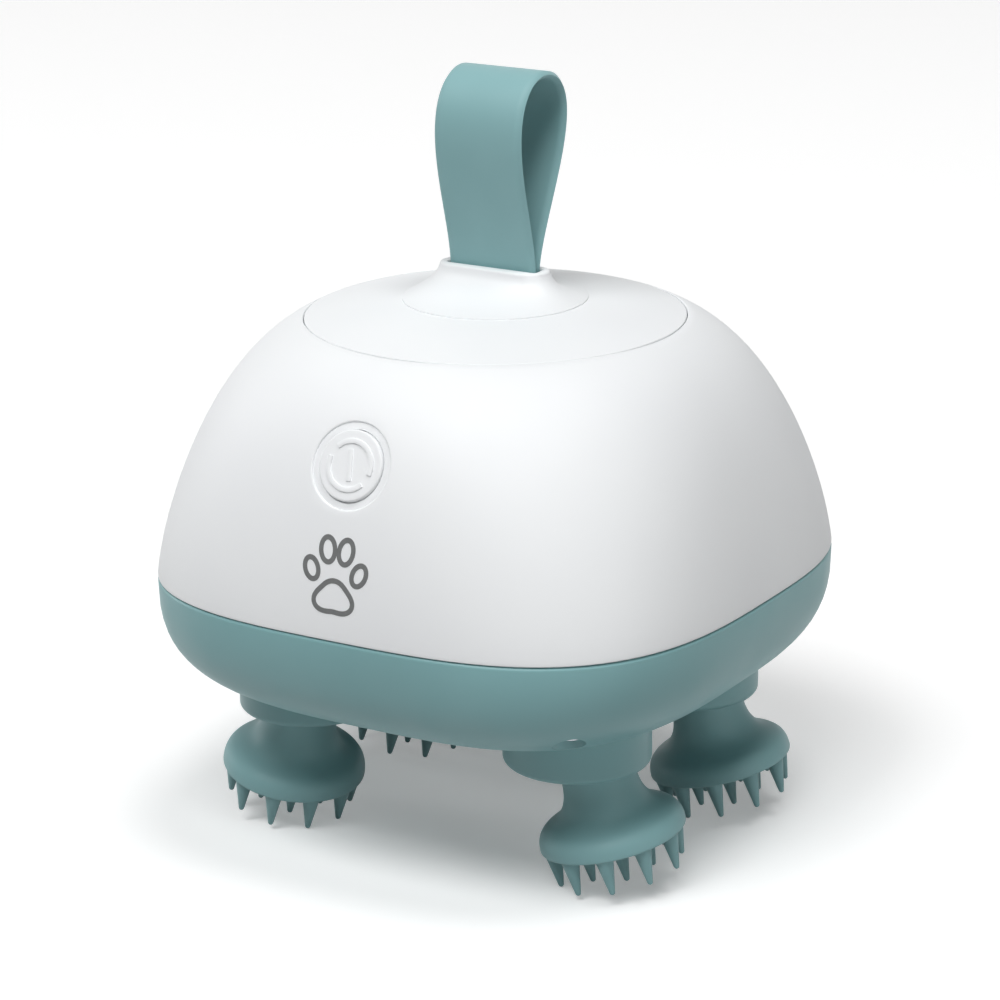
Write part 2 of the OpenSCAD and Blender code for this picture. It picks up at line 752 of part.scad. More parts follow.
module top_shell() {
    color(white_abs) difference() {
        loft(dome_rings(half_w, dome_h, dome_last_angle));
        dome_cavity();
        plan_prism(half_w + past, seam_z - past, past + seam_gap / 2);
        plan_band(lip_inner - lip_gap, lip_inner + lip_t + lip_gap, seam_z - past, past + lip_room_h);
        translate([0, 0, ledge_z]) cylinder(r = cover_seat_r, h = dome_h, $fn = 96);
        translate([0, 0, ledge_under_z - past]) cylinder(r = ledge_r, h = dome_h, $fn = 96);
        for (angle = cover_screw_angles) rotate(angle) translate([cover_screw_r, 0, ledge_under_z - past]) {
            cylinder(d = small_screw_d + 2 * seat_fit, h = dome_h);
        }
        at_shell_posts() cylinder(d = shell_screw_d + 2 * seat_fit, h = shell_screw_tip_z + 0.5);
        at_button() translate([0, 0, board_z - past]) cylinder(r = button_bore_r, h = -board_z + 4);
        at_button() translate([0, 0, button_stem_z]) {
            cylinder(r = button_seat_r - 0.8, h = -wall - button_stem_z);
        }
        at_button() translate([0, 0, -button_ring_depth]) cylinder(r = button_bore_r + button_ring, h = 3);
        at_button() at_board_posts() translate([0, 0, board_z - past]) {
            cylinder(d = small_screw_d + 2 * seat_fit, h = past + board_screw_l - board_t + 0.3);
        }
        translate([0, pad_seat_y - past, pad_z]) {
            stadium_block(pad_w + 2 * pad_gap, pad_h + 2 * pad_gap, wall + 5);
        }
        translate([0, pad_seat_y - pad_seat_rim, pad_z]) {
            stadium_block(pad_w + pad_flange + 2 * pad_gap, pad_h + pad_flange + 2 * pad_gap, pad_seat_rim);
        }
        translate([0, pad_face_y, pad_z]) stadium_block(pad_w + 2 * pad_rim, pad_h + 2 * pad_rim, wall + 2);
    }
}

module cover_skin_profile() {
    steps = 8;
    polygon(concat(
        [[0, ledge_z], [cover_r, ledge_z], [cover_r, cover_edge_z - 0.3]],
        [for (k = [0:steps]) let (r = (cover_r - 0.3) * (1 - k / steps)) [r, cover_z_at(r)]]
    ));
}

module strap_boss() {
    steps = 7;
    foot = stadium_ring(boss_r, boss_r, boss_z - boss_sink);
    loft(concat([foot], [
        for (k = [0:steps])
        let (f = k / steps)
        stadium_ring(
            boss_half_l + (boss_r - boss_half_l) * pow(1 - f, 1.9),
            boss_half_w + (boss_r - boss_half_w) * pow(1 - f, 3.2),
            boss_z - 0.05 + (boss_h + 0.05) * f
        )
    ]));
}

module top_cover() {
    pocket_r = ledge_r - 0.5;
    pocket_h = cover_z_at(pocket_r) - ledge_z - cover_skin;
    color(white_abs) difference() {
        union() {
            difference() {
                rotate_extrude($fn = 96) cover_skin_profile();
                translate([0, 0, ledge_z - past]) cylinder(r = pocket_r, h = past + pocket_h);
            }
            strap_boss();
            translate([-socket_l / 2, -socket_w / 2, socket_z]) {
                cube([socket_l, socket_w, boss_z - boss_sink - socket_z]);
            }
        }
        translate([-slot_w / 2, -slot_t / 2, socket_z - past]) cube([slot_w, slot_t, boss_top_z]);
        translate([-slot_w / 2, -eye_r - slot_gap, socket_z - past]) {
            cube([slot_w, 2 * (eye_r + slot_gap), past + 2 * (eye_r + slot_gap)]);
        }
        translate([-socket_l / 2 - past, 0, pin_z]) rotate([0, 90, 0]) {
            cylinder(d = strap_pin_d + 2 * seat_fit, h = socket_l + 2 * past);
        }
        for (angle = cover_screw_angles) rotate(angle) translate([cover_screw_r, 0, ledge_z - past]) {
            cylinder(d = small_screw_d + 2 * seat_fit, h = past + cover_screw_l - ledge_t + 0.2);
        }
    }
}

module strap() {
    loop = [for (k = [0:strap_steps]) 1 + 358 * k / strap_steps];
    tail_half = strap_t + strap_layer_gap / 2;
    eye_start = acos(tail_half / eye_r);
    eye_steps = 20;
    color(teal_silicone) translate([-strap_w / 2, 0, 0]) rotate([90, 0, 90]) linear_extrude(strap_w) {
        difference() {
            polygon(concat(
                [for (t = loop) strap_edge(t, strap_t / 2)],
                [
                    for (k = [0:eye_steps])
                    let (a = eye_start - (180 + 2 * eye_start) * k / eye_steps)
                    [eye_r * cos(a), pin_z + eye_r * sin(a)]
                ]
            ));
            polygon([
                for (t = loop)
                if (t > strap_split && t < 360 - strap_split) strap_edge(t, -strap_t / 2)
            ]);
            translate([0, pin_z]) circle(d = strap_pin_d + 2 * seat_fit);
        }
    }
}

module strap_pin() {
    color(steel) translate([-socket_l / 2, 0, pin_z]) rotate([0, 90, 0]) {
        cylinder(d = strap_pin_d, h = socket_l);
    }
}

module cover_screws() {
    color(steel) for (angle = cover_screw_angles) {
        rotate(angle) translate([cover_screw_r, 0, ledge_under_z]) mirror([0, 0, 1]) {
            screw(small_screw_d, small_head_d, small_head_t, cover_screw_l);
        }
    }
}

module bowl_cavity() {
    inner_w = half_w - wall;
    top = plan_ring(inner_w, plan_power, seam_z + past);
    difference() {
        loft(concat(bowl_rings(inner_w, bowl_h - wall), [top]));
        for (corner = corners) at_spindle(corner) {
            cylinder(r = collar_r + collar_gap + well_wall, h = floor_z);
            cylinder(r = spindle_d / 2 + bush_wall + well_wall + 0.4, h = bush_top_z);
        }
        at_shell_posts() cylinder(r = shell_post_r, h = seam_z);
        at_side_posts(chassis_post_x) cylinder(r = chassis_post_r, h = plate_z);
        for (side = [-1, 1]) translate([side * idler_x, 0, 0]) {
            cylinder(r = idler_post_r, h = low_gear_z - end_play);
        }
        translate([reduction_x, reduction_y, 0]) cylinder(r = reduction_post_r, h = middle_gear_z - end_play);
    }
}

module base_shell() {
    rim_z = seam_z - seam_gap / 2;
    color(teal_abs) difference() {
        union() {
            difference() {
                loft(bowl_rings(half_w, bowl_h));
                bowl_cavity();
                plan_prism(half_w + past, rim_z, past);
            }
            plan_band(lip_inner, lip_inner + lip_t, rim_z - 0.5, lip_h + seam_gap / 2 + 0.5);
        }
        for (corner = corners) at_spindle(corner) {
            cylinder(r = collar_r + collar_gap, h = well_top_z);
            cylinder(r = spindle_d / 2 + bush_wall + seat_fit, h = bush_top_z + past);
        }
        at_shell_posts() {
            cylinder(d = shell_screw_head_d + 0.5, h = shell_screw_head_z);
            cylinder(d = shell_screw_d + 2 * seat_fit, h = seam_z + past);
        }
        at_side_posts(chassis_post_x) translate([0, 0, plate_z - chassis_screw_l]) {
            cylinder(d = chassis_screw_d + 2 * seat_fit, h = chassis_screw_l + past);
        }
        for (side = [-1, 1]) translate([side * idler_x, 0, low_gear_z - end_play - post_grip]) {
            cylinder(d = idler_pin_d + 2 * seat_fit, h = post_grip + past);
        }
        translate([reduction_x, reduction_y, middle_gear_z - end_play - post_grip]) {
            cylinder(d = reduction_pin_d + 2 * seat_fit, h = post_grip + past);
        }
        gasket_band(0.05);
    }
}

module gasket_band(room) {
    inner = lip_inner + lip_t + 2 * lip_gap;
    plan_band(inner - room, inner + 0.6 + room, seam_z - seam_gap / 2 - 0.4 - room, seam_gap + 0.4 + room);
}

module seam_gasket() {
    color("#3f4a4c") gasket_band(0);
}

module shell_screws() {
    color(steel) at_shell_posts() translate([0, 0, shell_screw_head_z]) mirror([0, 0, 1]) {
        screw(shell_screw_d, shell_screw_head_d, head_t, shell_screw_l);
    }
}

module power_symbol() {
    rotate(symbol_slant) {
        translate([-symbol_line / 2, -symbol_bar_l / 2, 0]) cube([symbol_line, symbol_bar_l, symbol_h]);
    }
    difference() {
        ring(symbol_d / 2, symbol_d / 2 - symbol_line, symbol_h);
        for (turn = [90, 270]) rotate(turn + symbol_slant) {
            translate([0, 0, -past]) linear_extrude(symbol_h + 2 * past) {
                polygon([[0, 0], symbol_d * [cos(symbol_break / 2), sin(symbol_break / 2)],
                    symbol_d * [cos(symbol_break / 2), -sin(symbol_break / 2)]]);
            }
        }
    }
}

module power_button() {
    color(white_abs) at_button() {
        translate([0, 0, button_flange_z]) cylinder(d = button_d, h = -button_flange_z - 0.3);
        translate([0, 0, -0.3]) cylinder(d1 = button_d, d2 = button_d - 0.6, h = 0.3);
        translate([0, 0, button_flange_z - button_flange_t]) {
            cylinder(r = button_flange_r, h = button_flange_t);
        }
        translate([0, 0, button_stem_z]) cylinder(r = button_stem_r, h = button_stem_l + 0.1);
        power_symbol();
    }
}

module button_seal() {
    color("#50595b") at_button() translate([0, 0, -wall - button_seal_t]) {
        ring(button_flange_r + 0.5, button_bore_r, button_seal_t);
    }
}

module push_switch() {
    color("#2b2d2f") at_button() translate([0, 0, board_z]) {
        translate([-switch_w / 2, -switch_w / 2, 0]) cube([switch_w, switch_w, switch_h]);
        cylinder(d = switch_plunger_d, h = switch_h + switch_plunger_l);
    }
}

module control_board() {
    chip = [6, 6, 1];
    color(board_green) at_button() translate([0, 0, board_z - board_t]) {
        difference() {
            translate([-board_w / 2, -board_h / 2, 0]) cube([board_w, board_h, board_t]);
            at_board_posts() translate([0, 0, -past]) {
                cylinder(d = small_screw_d + 2 * seat_fit, h = board_t + 2 * past);
            }
        }
        translate([-chip[0] / 2, -chip[1] / 2, -chip[2]]) cube(chip + [0, 0, 0.1]);
        for (place = [[-upper_plug_x, upper_plug_y], [upper_plug_x, upper_plug_y], [0, lower_plug_y]]) {
            translate([place[0] - plug_w / 2, place[1] - plug_depth / 2, -plug_h]) {
                cube([plug_w, plug_depth, plug_h + 0.1]);
            }
        }
    }
}

module board_screws() {
    color(steel) at_button() at_board_posts() translate([0, 0, board_z - board_t]) mirror([0, 0, 1]) {
        screw(small_screw_d, small_head_d, small_head_t, board_screw_l);
    }
}

// A lead: it leaves its plug square to the board, and lands straight on its other end
module lead(plug_x, plug_y, route, end, out, side_on) {
    color("#a33a35") loft(lead_rings(curve(concat(
        [for (k = [0:2]) board_point(plug_x, plug_y, plug_face_z - k * lead_d)],
        route,
        [for (k = [2:-1:0]) end + k * lead_d * out]
    )), side_on));
}

module motor_leads() {
    up = [0, 0, 1];
    across = [1, 0, 0];
    left_end = [-terminal_x, 0, terminal_z];
    right_end = [terminal_x, 0, terminal_z];
    lead(-upper_plug_x - lead_spread, upper_plug_y, motor_route_left, left_end, up, across);
    lead(-upper_plug_x + lead_spread, upper_plug_y, motor_route_right, right_end, up, across);
}

module battery_leads() {
    left_end = [-cell_l / 2, cell_y, cell_z + lead_rise];
    right_end = [cell_l / 2, cell_y, cell_z + lead_rise];
    up = [0, 0, 1];
    left_route = [for (i = [len(battery_route_left) - 1:-1:0]) battery_route_left[i]];
    right_route = [for (i = [len(battery_route_right) - 1:-1:0]) battery_route_right[i]];
    lead(upper_plug_x - lead_spread, upper_plug_y, left_route, left_end, [-1, 0, 0], up);
    lead(upper_plug_x + lead_spread, upper_plug_y, right_route, right_end, [1, 0, 0], up);
}

module charge_leads() {
    left_end = [-contact_pitch / 2, contact_back_y, pad_z];
    right_end = [contact_pitch / 2, contact_back_y, pad_z];
    inwards = [0, -1, 0];
    up = [0, 0, 1];
    left_route = [for (i = [len(charge_route_left) - 1:-1:0]) charge_route_left[i]];
    right_route = [for (i = [len(charge_route_right) - 1:-1:0]) charge_route_right[i]];
    lead(-lead_spread, lower_plug_y, left_route, left_end, inwards, up);
    lead(lead_spread, lower_plug_y, right_route, right_end, inwards, up);
}

module charge_pad() {
    color("#dfe3e6") translate([0, 0, pad_z]) difference() {
        union() {
            translate([0, pad_seat_y - pad_flange_t / 2, 0]) {
                stadium_block(pad_w, pad_h, pad_face_y - pad_seat_y + pad_flange_t / 2);
            }
            translate([0, pad_seat_y - pad_flange_t, 0]) {
                stadium_block(pad_w + pad_flange, pad_h + pad_flange, pad_flange_t);
            }
        }
        for (side = [-1, 1]) translate([side * contact_pitch / 2, pad_seat_y - pad_flange_t - past, 0]) {
            rotate([-90, 0, 0]) cylinder(d = contact_d + 2 * seat_fit, h = wall + pad_flange_t + 2 * past);
        }
    }
}

module charge_contacts() {
    color(brass) for (side = [-1, 1]) translate([side * contact_pitch / 2, contact_back_y, pad_z]) {
        rotate([-90, 0, 0]) cylinder(d = contact_d, h = pad_face_y - contact_back_y);
    }
}

module battery_cell() {
    color("#3c6ea5") translate([-cell_l / 2, cell_y, cell_z]) rotate([0, 90, 0]) {
        cylinder(d = cell_d, h = cell_l);
        translate([0, 0, cell_l - 0.1]) cylinder(d = cell_nub_d, h = cell_nub_l + 0.1);
    }
}

module battery_cradle() {
    inner_l = cradle_l - 2 * cradle_t;
    color("#33383b") translate([0, cell_y, plate_top_z]) difference() {
        translate([-cradle_l / 2, -cradle_w / 2, 0]) cube([cradle_l, cradle_w, cradle_h]);
        translate([-inner_l / 2, 0, cell_z - plate_top_z]) rotate([0, 90, 0]) {
            cylinder(d = cell_d + 2 * cell_gap, h = inner_l);
        }
    }
}

module motor_can() {
    shaft_room = motor_shaft_d + 2 * running_fit;
    color(steel) translate([0, 0, plate_top_z]) difference() {
        union() {
            cylinder(d = motor_d, h = motor_l);
            translate([0, 0, -motor_nose_h]) cylinder(d = motor_nose_d, h = motor_nose_h + 0.1);
            translate([0, 0, motor_l - 0.1]) cylinder(d = motor_boss_d, h = motor_boss_h + 0.1);
            for (side = [-1, 1]) {
                translate([side * terminal_x, 0, motor_l - 0.1]) {
                    translate([-motor_terminal[0] / 2, -motor_terminal[1] / 2, 0]) cube(motor_terminal);
                }
            }
        }
        translate([0, 0, -motor_nose_h - past]) cylinder(d = shaft_room, h = motor_l + motor_nose_h + past);
        for (side = [-1, 1]) translate([0, side * motor_screw_r, -past]) {
            cylinder(d = small_screw_d + 2 * seat_fit, h = past + motor_screw_l - plate_t / 2 + 0.4);
        }
    }
}

module motor_shaft() {
    foot = high_gear_z - end_play;
    color(steel) translate([0, 0, foot]) {
        cylinder(d = motor_shaft_d, h = plate_top_z + motor_l - shaft_end_gap - foot);
    }
}

module motor_pinion() {
    phase = mesh_phase(0, reduction_wheel_teeth, motor_pinion_teeth, atan2(-reduction_y, -reduction_x));
    color(brass) translate([0, 0, high_gear_z - end_play]) difference() {
        gear_body(motor_pinion_teeth, motor_module, phase, high_gear_t + 2 * end_play);
        translate([0, 0, -past]) cylinder(d = motor_shaft_d + 2 * seat_fit, h = high_gear_t + 3 * past);
    }
}

module motor_screws() {
    color(steel) for (side = [-1, 1]) {
        translate([0, side * motor_screw_r, plate_z + plate_t / 2]) mirror([0, 0, 1]) {
            screw(small_screw_d, small_head_d, small_head_t, motor_screw_l - plate_t / 2);
        }
    }
}

module chassis_plate() {
    color(nylon) difference() {
        plan_prism(plate_half_w, plate_z, plate_t);
        at_shell_posts() translate([0, 0, plate_z - past]) {
            cylinder(r = shell_post_r + plate_notch_gap, h = plate_t + 2 * past);
        }
        at_side_posts(chassis_post_x) translate([0, 0, plate_z - past]) {
            cylinder(d = chassis_screw_d + 2 * seat_fit, h = plate_t + 2 * past);
        }
        for (corner = corners) at_spindle(corner) translate([0, 0, plate_z - past]) {
            cylinder(r = spindle_d / 2 + bush_wall + seat_fit, h = plate_t + 2 * past);
        }
        for (side = [-1, 1]) translate([side * idler_x, 0, plate_z - past]) {
            cylinder(d = idler_pin_d + 2 * seat_fit, h = plate_t + past - 0.4);
        }
        translate([reduction_x, reduction_y, plate_z - past]) {
            cylinder(d = reduction_pin_d + 2 * seat_fit, h = plate_t + past - 0.4);
        }
        translate([0, 0, plate_z - past]) cylinder(d = motor_nose_d + 2 * seat_fit, h = plate_t + 2 * past);
        for (side = [-1, 1]) translate([0, side * motor_screw_r, plate_z - past]) {
            cylinder(d = small_screw_d + 2 * seat_fit, h = plate_t + 2 * past);
            cylinder(d = small_head_d + 0.3, h = past + plate_t / 2);
        }
    }
}

module chassis_screws() {
    color(steel) at_side_posts(chassis_post_x) translate([0, 0, plate_top_z]) {
        screw(chassis_screw_d, chassis_head_d, head_t, chassis_screw_l);
    }
}

module reduction_gear() {
    direction = atan2(reduction_y, reduction_x - idler_x);
    phase = mesh_phase(0, idler_wheel_teeth, reduction_pinion_teeth, direction);
    hub_r = reduction_pin_d / 2 + hub_wall;
    color(nylon) translate([reduction_x, reduction_y, 0]) difference() {
        union() {
            translate([0, 0, middle_gear_z]) {
                gear_body(reduction_pinion_teeth, middle_module, phase, middle_gear_t + level_gap + 0.1);
            }
            translate([0, 0, high_gear_z]) gear_body(reduction_wheel_teeth, motor_module, 0, high_gear_t);
            translate([0, 0, high_gear_z + high_gear_t - 0.1]) cylinder(r = hub_r, h = level_gap + 0.1);
        }
        translate([0, 0, middle_gear_z - past]) {
            cylinder(d = reduction_pin_d + 2 * running_fit, h = plate_z - middle_gear_z + past);
        }
    }
}

module reduction_pin() {
    foot = middle_gear_z - end_play - post_grip;
    color(steel) translate([reduction_x, reduction_y, foot]) {
        cylinder(d = reduction_pin_d, h = plate_z + plate_t - 0.5 - foot);
    }
}

// Idler with its bore and a hub that reaches up to the plate
module idler(phase, hub_r) {
    difference() {
        union() {
            translate([0, 0, low_gear_z]) gear_body(idler_teeth, spindle_module, phase, low_gear_t);
            translate([0, 0, low_gear_z]) cylinder(r = hub_r, h = plate_z - end_play - low_gear_z);
            children();
        }
        translate([0, 0, low_gear_z - past]) {
            cylinder(d = idler_pin_d + 2 * running_fit, h = plate_z - low_gear_z + past);
        }
    }
}

module idler_gear_right() {
    color(nylon) translate([idler_x, 0, 0]) idler(0, idler_pin_d / 2 + slim_hub_wall) {
        translate([0, 0, low_gear_z + low_gear_t - 0.1]) {
            cylinder(r = idler_post_r + 1, h = level_gap + 0.2);
        }
        translate([0, 0, middle_gear_z]) gear_body(idler_wheel_teeth, middle_module, 0, middle_gear_t);
    }
}

module idler_gear_left() {
    color(nylon) translate([-idler_x, 0, 0]) idler(left_idler_phase, idler_pin_d / 2 + hub_wall);
}

module idler_pins() {
    foot = low_gear_z - end_play - post_grip;
    color(steel) for (side = [-1, 1]) translate([side * idler_x, 0, foot]) {
        cylinder(d = idler_pin_d, h = plate_z + plate_t - 0.5 - foot);
    }
}

module lower_bushes() {
    foot = well_top_z + seal_t + 0.1;
    color(brass) for (corner = corners) at_spindle(corner) translate([0, 0, foot]) {
        ring(spindle_d / 2 + bush_wall, spindle_d / 2 + running_fit, bush_top_z - foot);
    }
}

module upper_bushes() {
    color(brass) for (corner = corners) at_spindle(corner) translate([0, 0, plate_z]) {
        ring(spindle_d / 2 + bush_wall, spindle_d / 2 + running_fit, plate_t);
    }
}

module spindle_seals() {
    color("#2b2d2f") for (corner = corners) at_spindle(corner) translate([0, 0, well_top_z]) {
        ring(spindle_d / 2 + bush_wall, spindle_d / 2 + running_fit, seal_t);
    }
}

// Spindle with the flange that is moulded into its collar
module spindle(corner) {
    foot = collar_z + spindle_foot;
    color(steel) at_spindle(corner) translate([0, 0, foot]) {
        cylinder(d = spindle_d, h = plate_top_z - 0.2 - foot);
        cylinder(d = spindle_flange_d, h = spindle_flange_t);
    }
}

module spindle_gear(corner) {
    hub_r = spindle_d / 2 + hub_wall + 0.5;
    color(nylon) at_spindle(corner) translate([0, 0, low_gear_z]) difference() {
        union() {
            gear_body(spindle_teeth, spindle_module, spindle_gear_phase(corner), low_gear_t);
            cylinder(r = hub_r, h = plate_z - end_play - low_gear_z);
        }
        translate([0, 0, -past]) {
            cylinder(d = spindle_d + 2 * seat_fit, h = plate_z - low_gear_z + 2 * past);
        }
    }
}

module collar_profile() {
    steps = 6;
    edge_r = collar_r - collar_round;
    polygon(concat(
        [[0, collar_h], [0, 0]],
        [
            for (k = [0:steps])
            let (a = 90 * k / steps)
            [edge_r + collar_round * sin(a), collar_round * (1 - cos(a))]
        ],
        [[collar_r, collar_h]]
    ));
}

module collar(corner) {
    foot = spindle_foot - seat_fit;
    color(teal_abs) difference() {
        at_spindle(corner) translate([0, 0, collar_z]) difference() {
            rotate_extrude() collar_profile();
            translate([0, 0, foot]) cylinder(d = spindle_d + 2 * seat_fit, h = collar_h);
            translate([0, 0, foot]) {
                cylinder(d = spindle_flange_d + 2 * seat_fit, h = spindle_flange_t + 2 * seat_fit);
            }
        }
        core_body(corner, seat_fit);
    }
}

// Stiff core that joins the collar and the soft head
module core_body(corner, room) {
    reach = head_reach - core_cover;
    at_spindle(corner) translate([0, 0, collar_z]) intersection() {
        rotate(rest_direction(corner)) translate([0, 0, pivot_rise]) rotate([0, -head_tilt, 0]) {
            translate([0, 0, -reach - room]) cylinder(r = core_r + room, h = reach + room);
        }
        translate([0, 0, -head_reach]) cylinder(r = 3 * disc_r, h = head_reach + core_grip + room);
    }
}

module head_core(corner) {
    color("#5f6d70") core_body(corner, 0);
}

// Half section of a head: a smooth curve flares from the neck and turns down to the disc's edge
module head_profile() {
    edge_steps = 2;
    flare_steps = 14;
    edge_z = -head_reach + edge_round;
    handles = [
        [disc_r, edge_z],
        [disc_r, edge_z + shoulder_hold],
        [neck_r, -flare_start - flare_hold],
        [neck_r, -flare_start]
    ];
    polygon(concat(
        [[0, 0], [0, -head_reach]],
        [
            for (k = [0:edge_steps])
            let (a = -90 + 90 * k / edge_steps)
            [disc_r - edge_round + edge_round * cos(a), edge_z + edge_round * sin(a)]
        ],
        [for (k = [1:flare_steps]) bezier_point(handles, k / flare_steps)],
        [[neck_r, 0]]
    ));
}

module tine_profile() {
    steps = 3;
    tip_r = tine_tip_d / 2;
    polygon(concat(
        [[0, 0.4], [tine_d / 2, 0.4], [tine_d / 2, 0]],
        [
            for (k = [0:steps])
            let (a = 90 * k / steps)
            [tip_r * cos(a), -tine_l + tip_r - tip_r * sin(a)]
        ]
    ));
}

module tine_ring(count, radius, turn) {
    for (k = [0:count - 1]) rotate(turn + k * 360 / count) translate([radius, 0, -head_reach]) {
        rotate_extrude($fn = 24) tine_profile();
    }
}

module massage_head(corner) {
    color(teal_silicone) difference() {
        at_head(corner) {
            rotate_extrude() head_profile();
            tine_ring(outer_tines, outer_ring_r, 180 / outer_tines);
            tine_ring(inner_tines, inner_ring_r, 0);
        }
        at_spindle(corner) translate([0, 0, collar_z]) cylinder(r = 2 * disc_r, h = pivot_rise + disc_r);
        core_body(corner, seat_fit);
    }
}

top_shell();
top_cover();
strap();
strap_pin();
cover_screws();
base_shell();
seam_gasket();
shell_screws();
power_button();
button_seal();
push_switch();
control_board();
board_screws();
charge_pad();
charge_contacts();
charge_leads();
battery_cell();
battery_cradle();
battery_leads();
motor_can();
motor_shaft();
motor_pinion();
motor_screws();
motor_leads();
chassis_plate();
chassis_screws();
reduction_gear();
reduction_pin();
idler_gear_right();
idler_gear_left();
idler_pins();
lower_bushes();
upper_bushes();
spindle_seals();
spindle(front_right);  // spindle_front_right
spindle(front_left);  // spindle_front_left
spindle(back_right);  // spindle_back_right
spindle(back_left);  // spindle_back_left
spindle_gear(front_right);  // spindle_gear_front_right
spindle_gear(front_left);  // spindle_gear_front_left
spindle_gear(back_right);  // spindle_gear_back_right
spindle_gear(back_left);  // spindle_gear_back_left
collar(front_right);  // collar_front_right
collar(front_left);  // collar_front_left
collar(back_right);  // collar_back_right
collar(back_left);  // collar_back_left
head_core(front_right);  // head_core_front_right
head_core(front_left);  // head_core_front_left
head_core(back_right);  // head_core_back_right
head_core(back_left);  // head_core_back_left
massage_head(front_right);  // massage_head_front_right
massage_head(front_left);  // massage_head_front_left
massage_head(back_right);  // massage_head_back_right
massage_head(back_left);  // massage_head_back_left
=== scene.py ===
"""Electric pet massager: a palm-held case with a finger strap and four turning silicone heads."""
import json
import math

import bmesh
import bpy
from mathutils import Matrix, Vector


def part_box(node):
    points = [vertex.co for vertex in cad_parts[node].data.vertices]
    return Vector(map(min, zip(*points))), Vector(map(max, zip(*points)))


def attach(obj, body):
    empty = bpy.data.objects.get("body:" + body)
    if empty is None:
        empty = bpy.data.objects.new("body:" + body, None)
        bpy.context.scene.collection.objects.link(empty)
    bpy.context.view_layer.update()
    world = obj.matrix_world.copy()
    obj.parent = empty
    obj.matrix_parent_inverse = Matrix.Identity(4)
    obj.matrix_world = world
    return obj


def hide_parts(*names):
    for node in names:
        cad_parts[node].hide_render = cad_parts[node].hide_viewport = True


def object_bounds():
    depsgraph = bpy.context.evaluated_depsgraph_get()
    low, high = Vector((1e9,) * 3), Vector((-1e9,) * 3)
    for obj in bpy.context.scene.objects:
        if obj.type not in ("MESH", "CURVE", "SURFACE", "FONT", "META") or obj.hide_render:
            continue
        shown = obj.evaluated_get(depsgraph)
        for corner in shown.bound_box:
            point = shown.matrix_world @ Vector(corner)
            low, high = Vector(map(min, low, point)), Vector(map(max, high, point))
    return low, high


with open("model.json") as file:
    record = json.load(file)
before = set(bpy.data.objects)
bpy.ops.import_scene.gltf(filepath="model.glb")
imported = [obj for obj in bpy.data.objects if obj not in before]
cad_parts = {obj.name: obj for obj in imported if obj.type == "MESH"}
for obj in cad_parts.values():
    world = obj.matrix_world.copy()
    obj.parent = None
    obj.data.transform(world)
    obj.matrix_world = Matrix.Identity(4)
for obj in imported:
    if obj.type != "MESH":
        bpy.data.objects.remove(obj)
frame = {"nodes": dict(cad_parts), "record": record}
cad_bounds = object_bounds()
mm = 0.001

# Camera
# The photograph was taken from the front right and a little above, with a long lens. The angles,
# the distance and the focal length were found by laying the case's outline over the photograph.
camera_azimuth = math.radians(31.3)
camera_elevation = math.radians(17.6)
camera_roll = math.radians(-0.7)
camera_distance = 636 * mm
camera_target = Vector((0, 0, 58.7 * mm))
picture_pixels = 1000
focal_pixels = 3640
axis_pixel = 497.7
sensor_width = 36

back = Vector((
    math.sin(camera_azimuth) * math.cos(camera_elevation),
    -math.cos(camera_azimuth) * math.cos(camera_elevation),
    math.sin(camera_elevation),
))
level_right = Vector((math.cos(camera_azimuth), math.sin(camera_azimuth), 0))
level_up = back.cross(level_right)
camera_right = math.cos(camera_roll) * level_right + math.sin(camera_roll) * level_up
camera_up = back.cross(camera_right)
camera_data = bpy.data.cameras.new("camera")
camera_data.sensor_width = sensor_width
camera_data.lens = focal_pixels / picture_pixels * sensor_width
camera_data.shift_x = (picture_pixels / 2 - axis_pixel) / picture_pixels
camera = bpy.data.objects.new("camera", camera_data)
camera.matrix_world = Matrix.Translation(camera_target + camera_distance * back) @ Matrix((
    (camera_right.x, camera_up.x, back.x, 0),
    (camera_right.y, camera_up.y, back.y, 0),
    (camera_right.z, camera_up.z, back.z, 0),
    (0, 0, 0, 1),
))
bpy.context.scene.collection.objects.link(camera)
bpy.context.scene.camera = camera

# Base shell
# The lower half of the case: a teal ABS bowl, injection moulded, with four wells for the collars and
# four screw towers. A lip inside its rim centres the white shell, which is screwed down from below.
case_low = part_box("base_shell")[0]
dome_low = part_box("top_shell")[0]
collar_low, collar_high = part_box("collar_front_right")
spindle_x = (collar_low.x + collar_high.x) / 2
spindle_y = (collar_high.y + collar_low.y) / 2
half_width = -case_low.x
gasket_gap = 0.3 * mm
seam_z = dome_low.z - gasket_gap / 2
joint_width = 0.12 * mm
wall = 2.4 * mm
bowl_dip = 0.04 * mm
bowl_depth = seam_z - case_low.z + bowl_dip
plan_power = 3.1
bowl_side_power = 3.97
bowl_floor_power = 2.93
bowl_last_angle = 86
columns = 160
bowl_rows = 26
rim_fillet = 0.6 * mm
lip_width = 0.9 * mm
lip_height = 2.5 * mm
collar_radius = (collar_high.x - collar_low.x) / 2
well_gap = 0.4 * mm
well_radius = collar_radius + well_gap
well_wall = 1.6 * mm
well_top_z = collar_high.z + well_gap
well_ceiling = 2 * mm
bush_radius = 4.5 * mm
screw_inset = 6.1 * mm
screw_angle = math.radians(46.5)
screw_recess_radius = 2.75 * mm
screw_recess_height = 9.6 * mm
screw_recess_top_z = case_low.z + screw_recess_height
screw_post_radius = 3.1 * mm
screw_hole_radius = 1.32 * mm
corners = [(1, -1), (-1, -1), (1, 1), (-1, 1)]
corner_names = ["front_right", "front_left", "back_right", "back_left"]
spindle_places = [(x * spindle_x, -y * spindle_y) for x, y in corners]
weld_distance = 0.0005 * mm


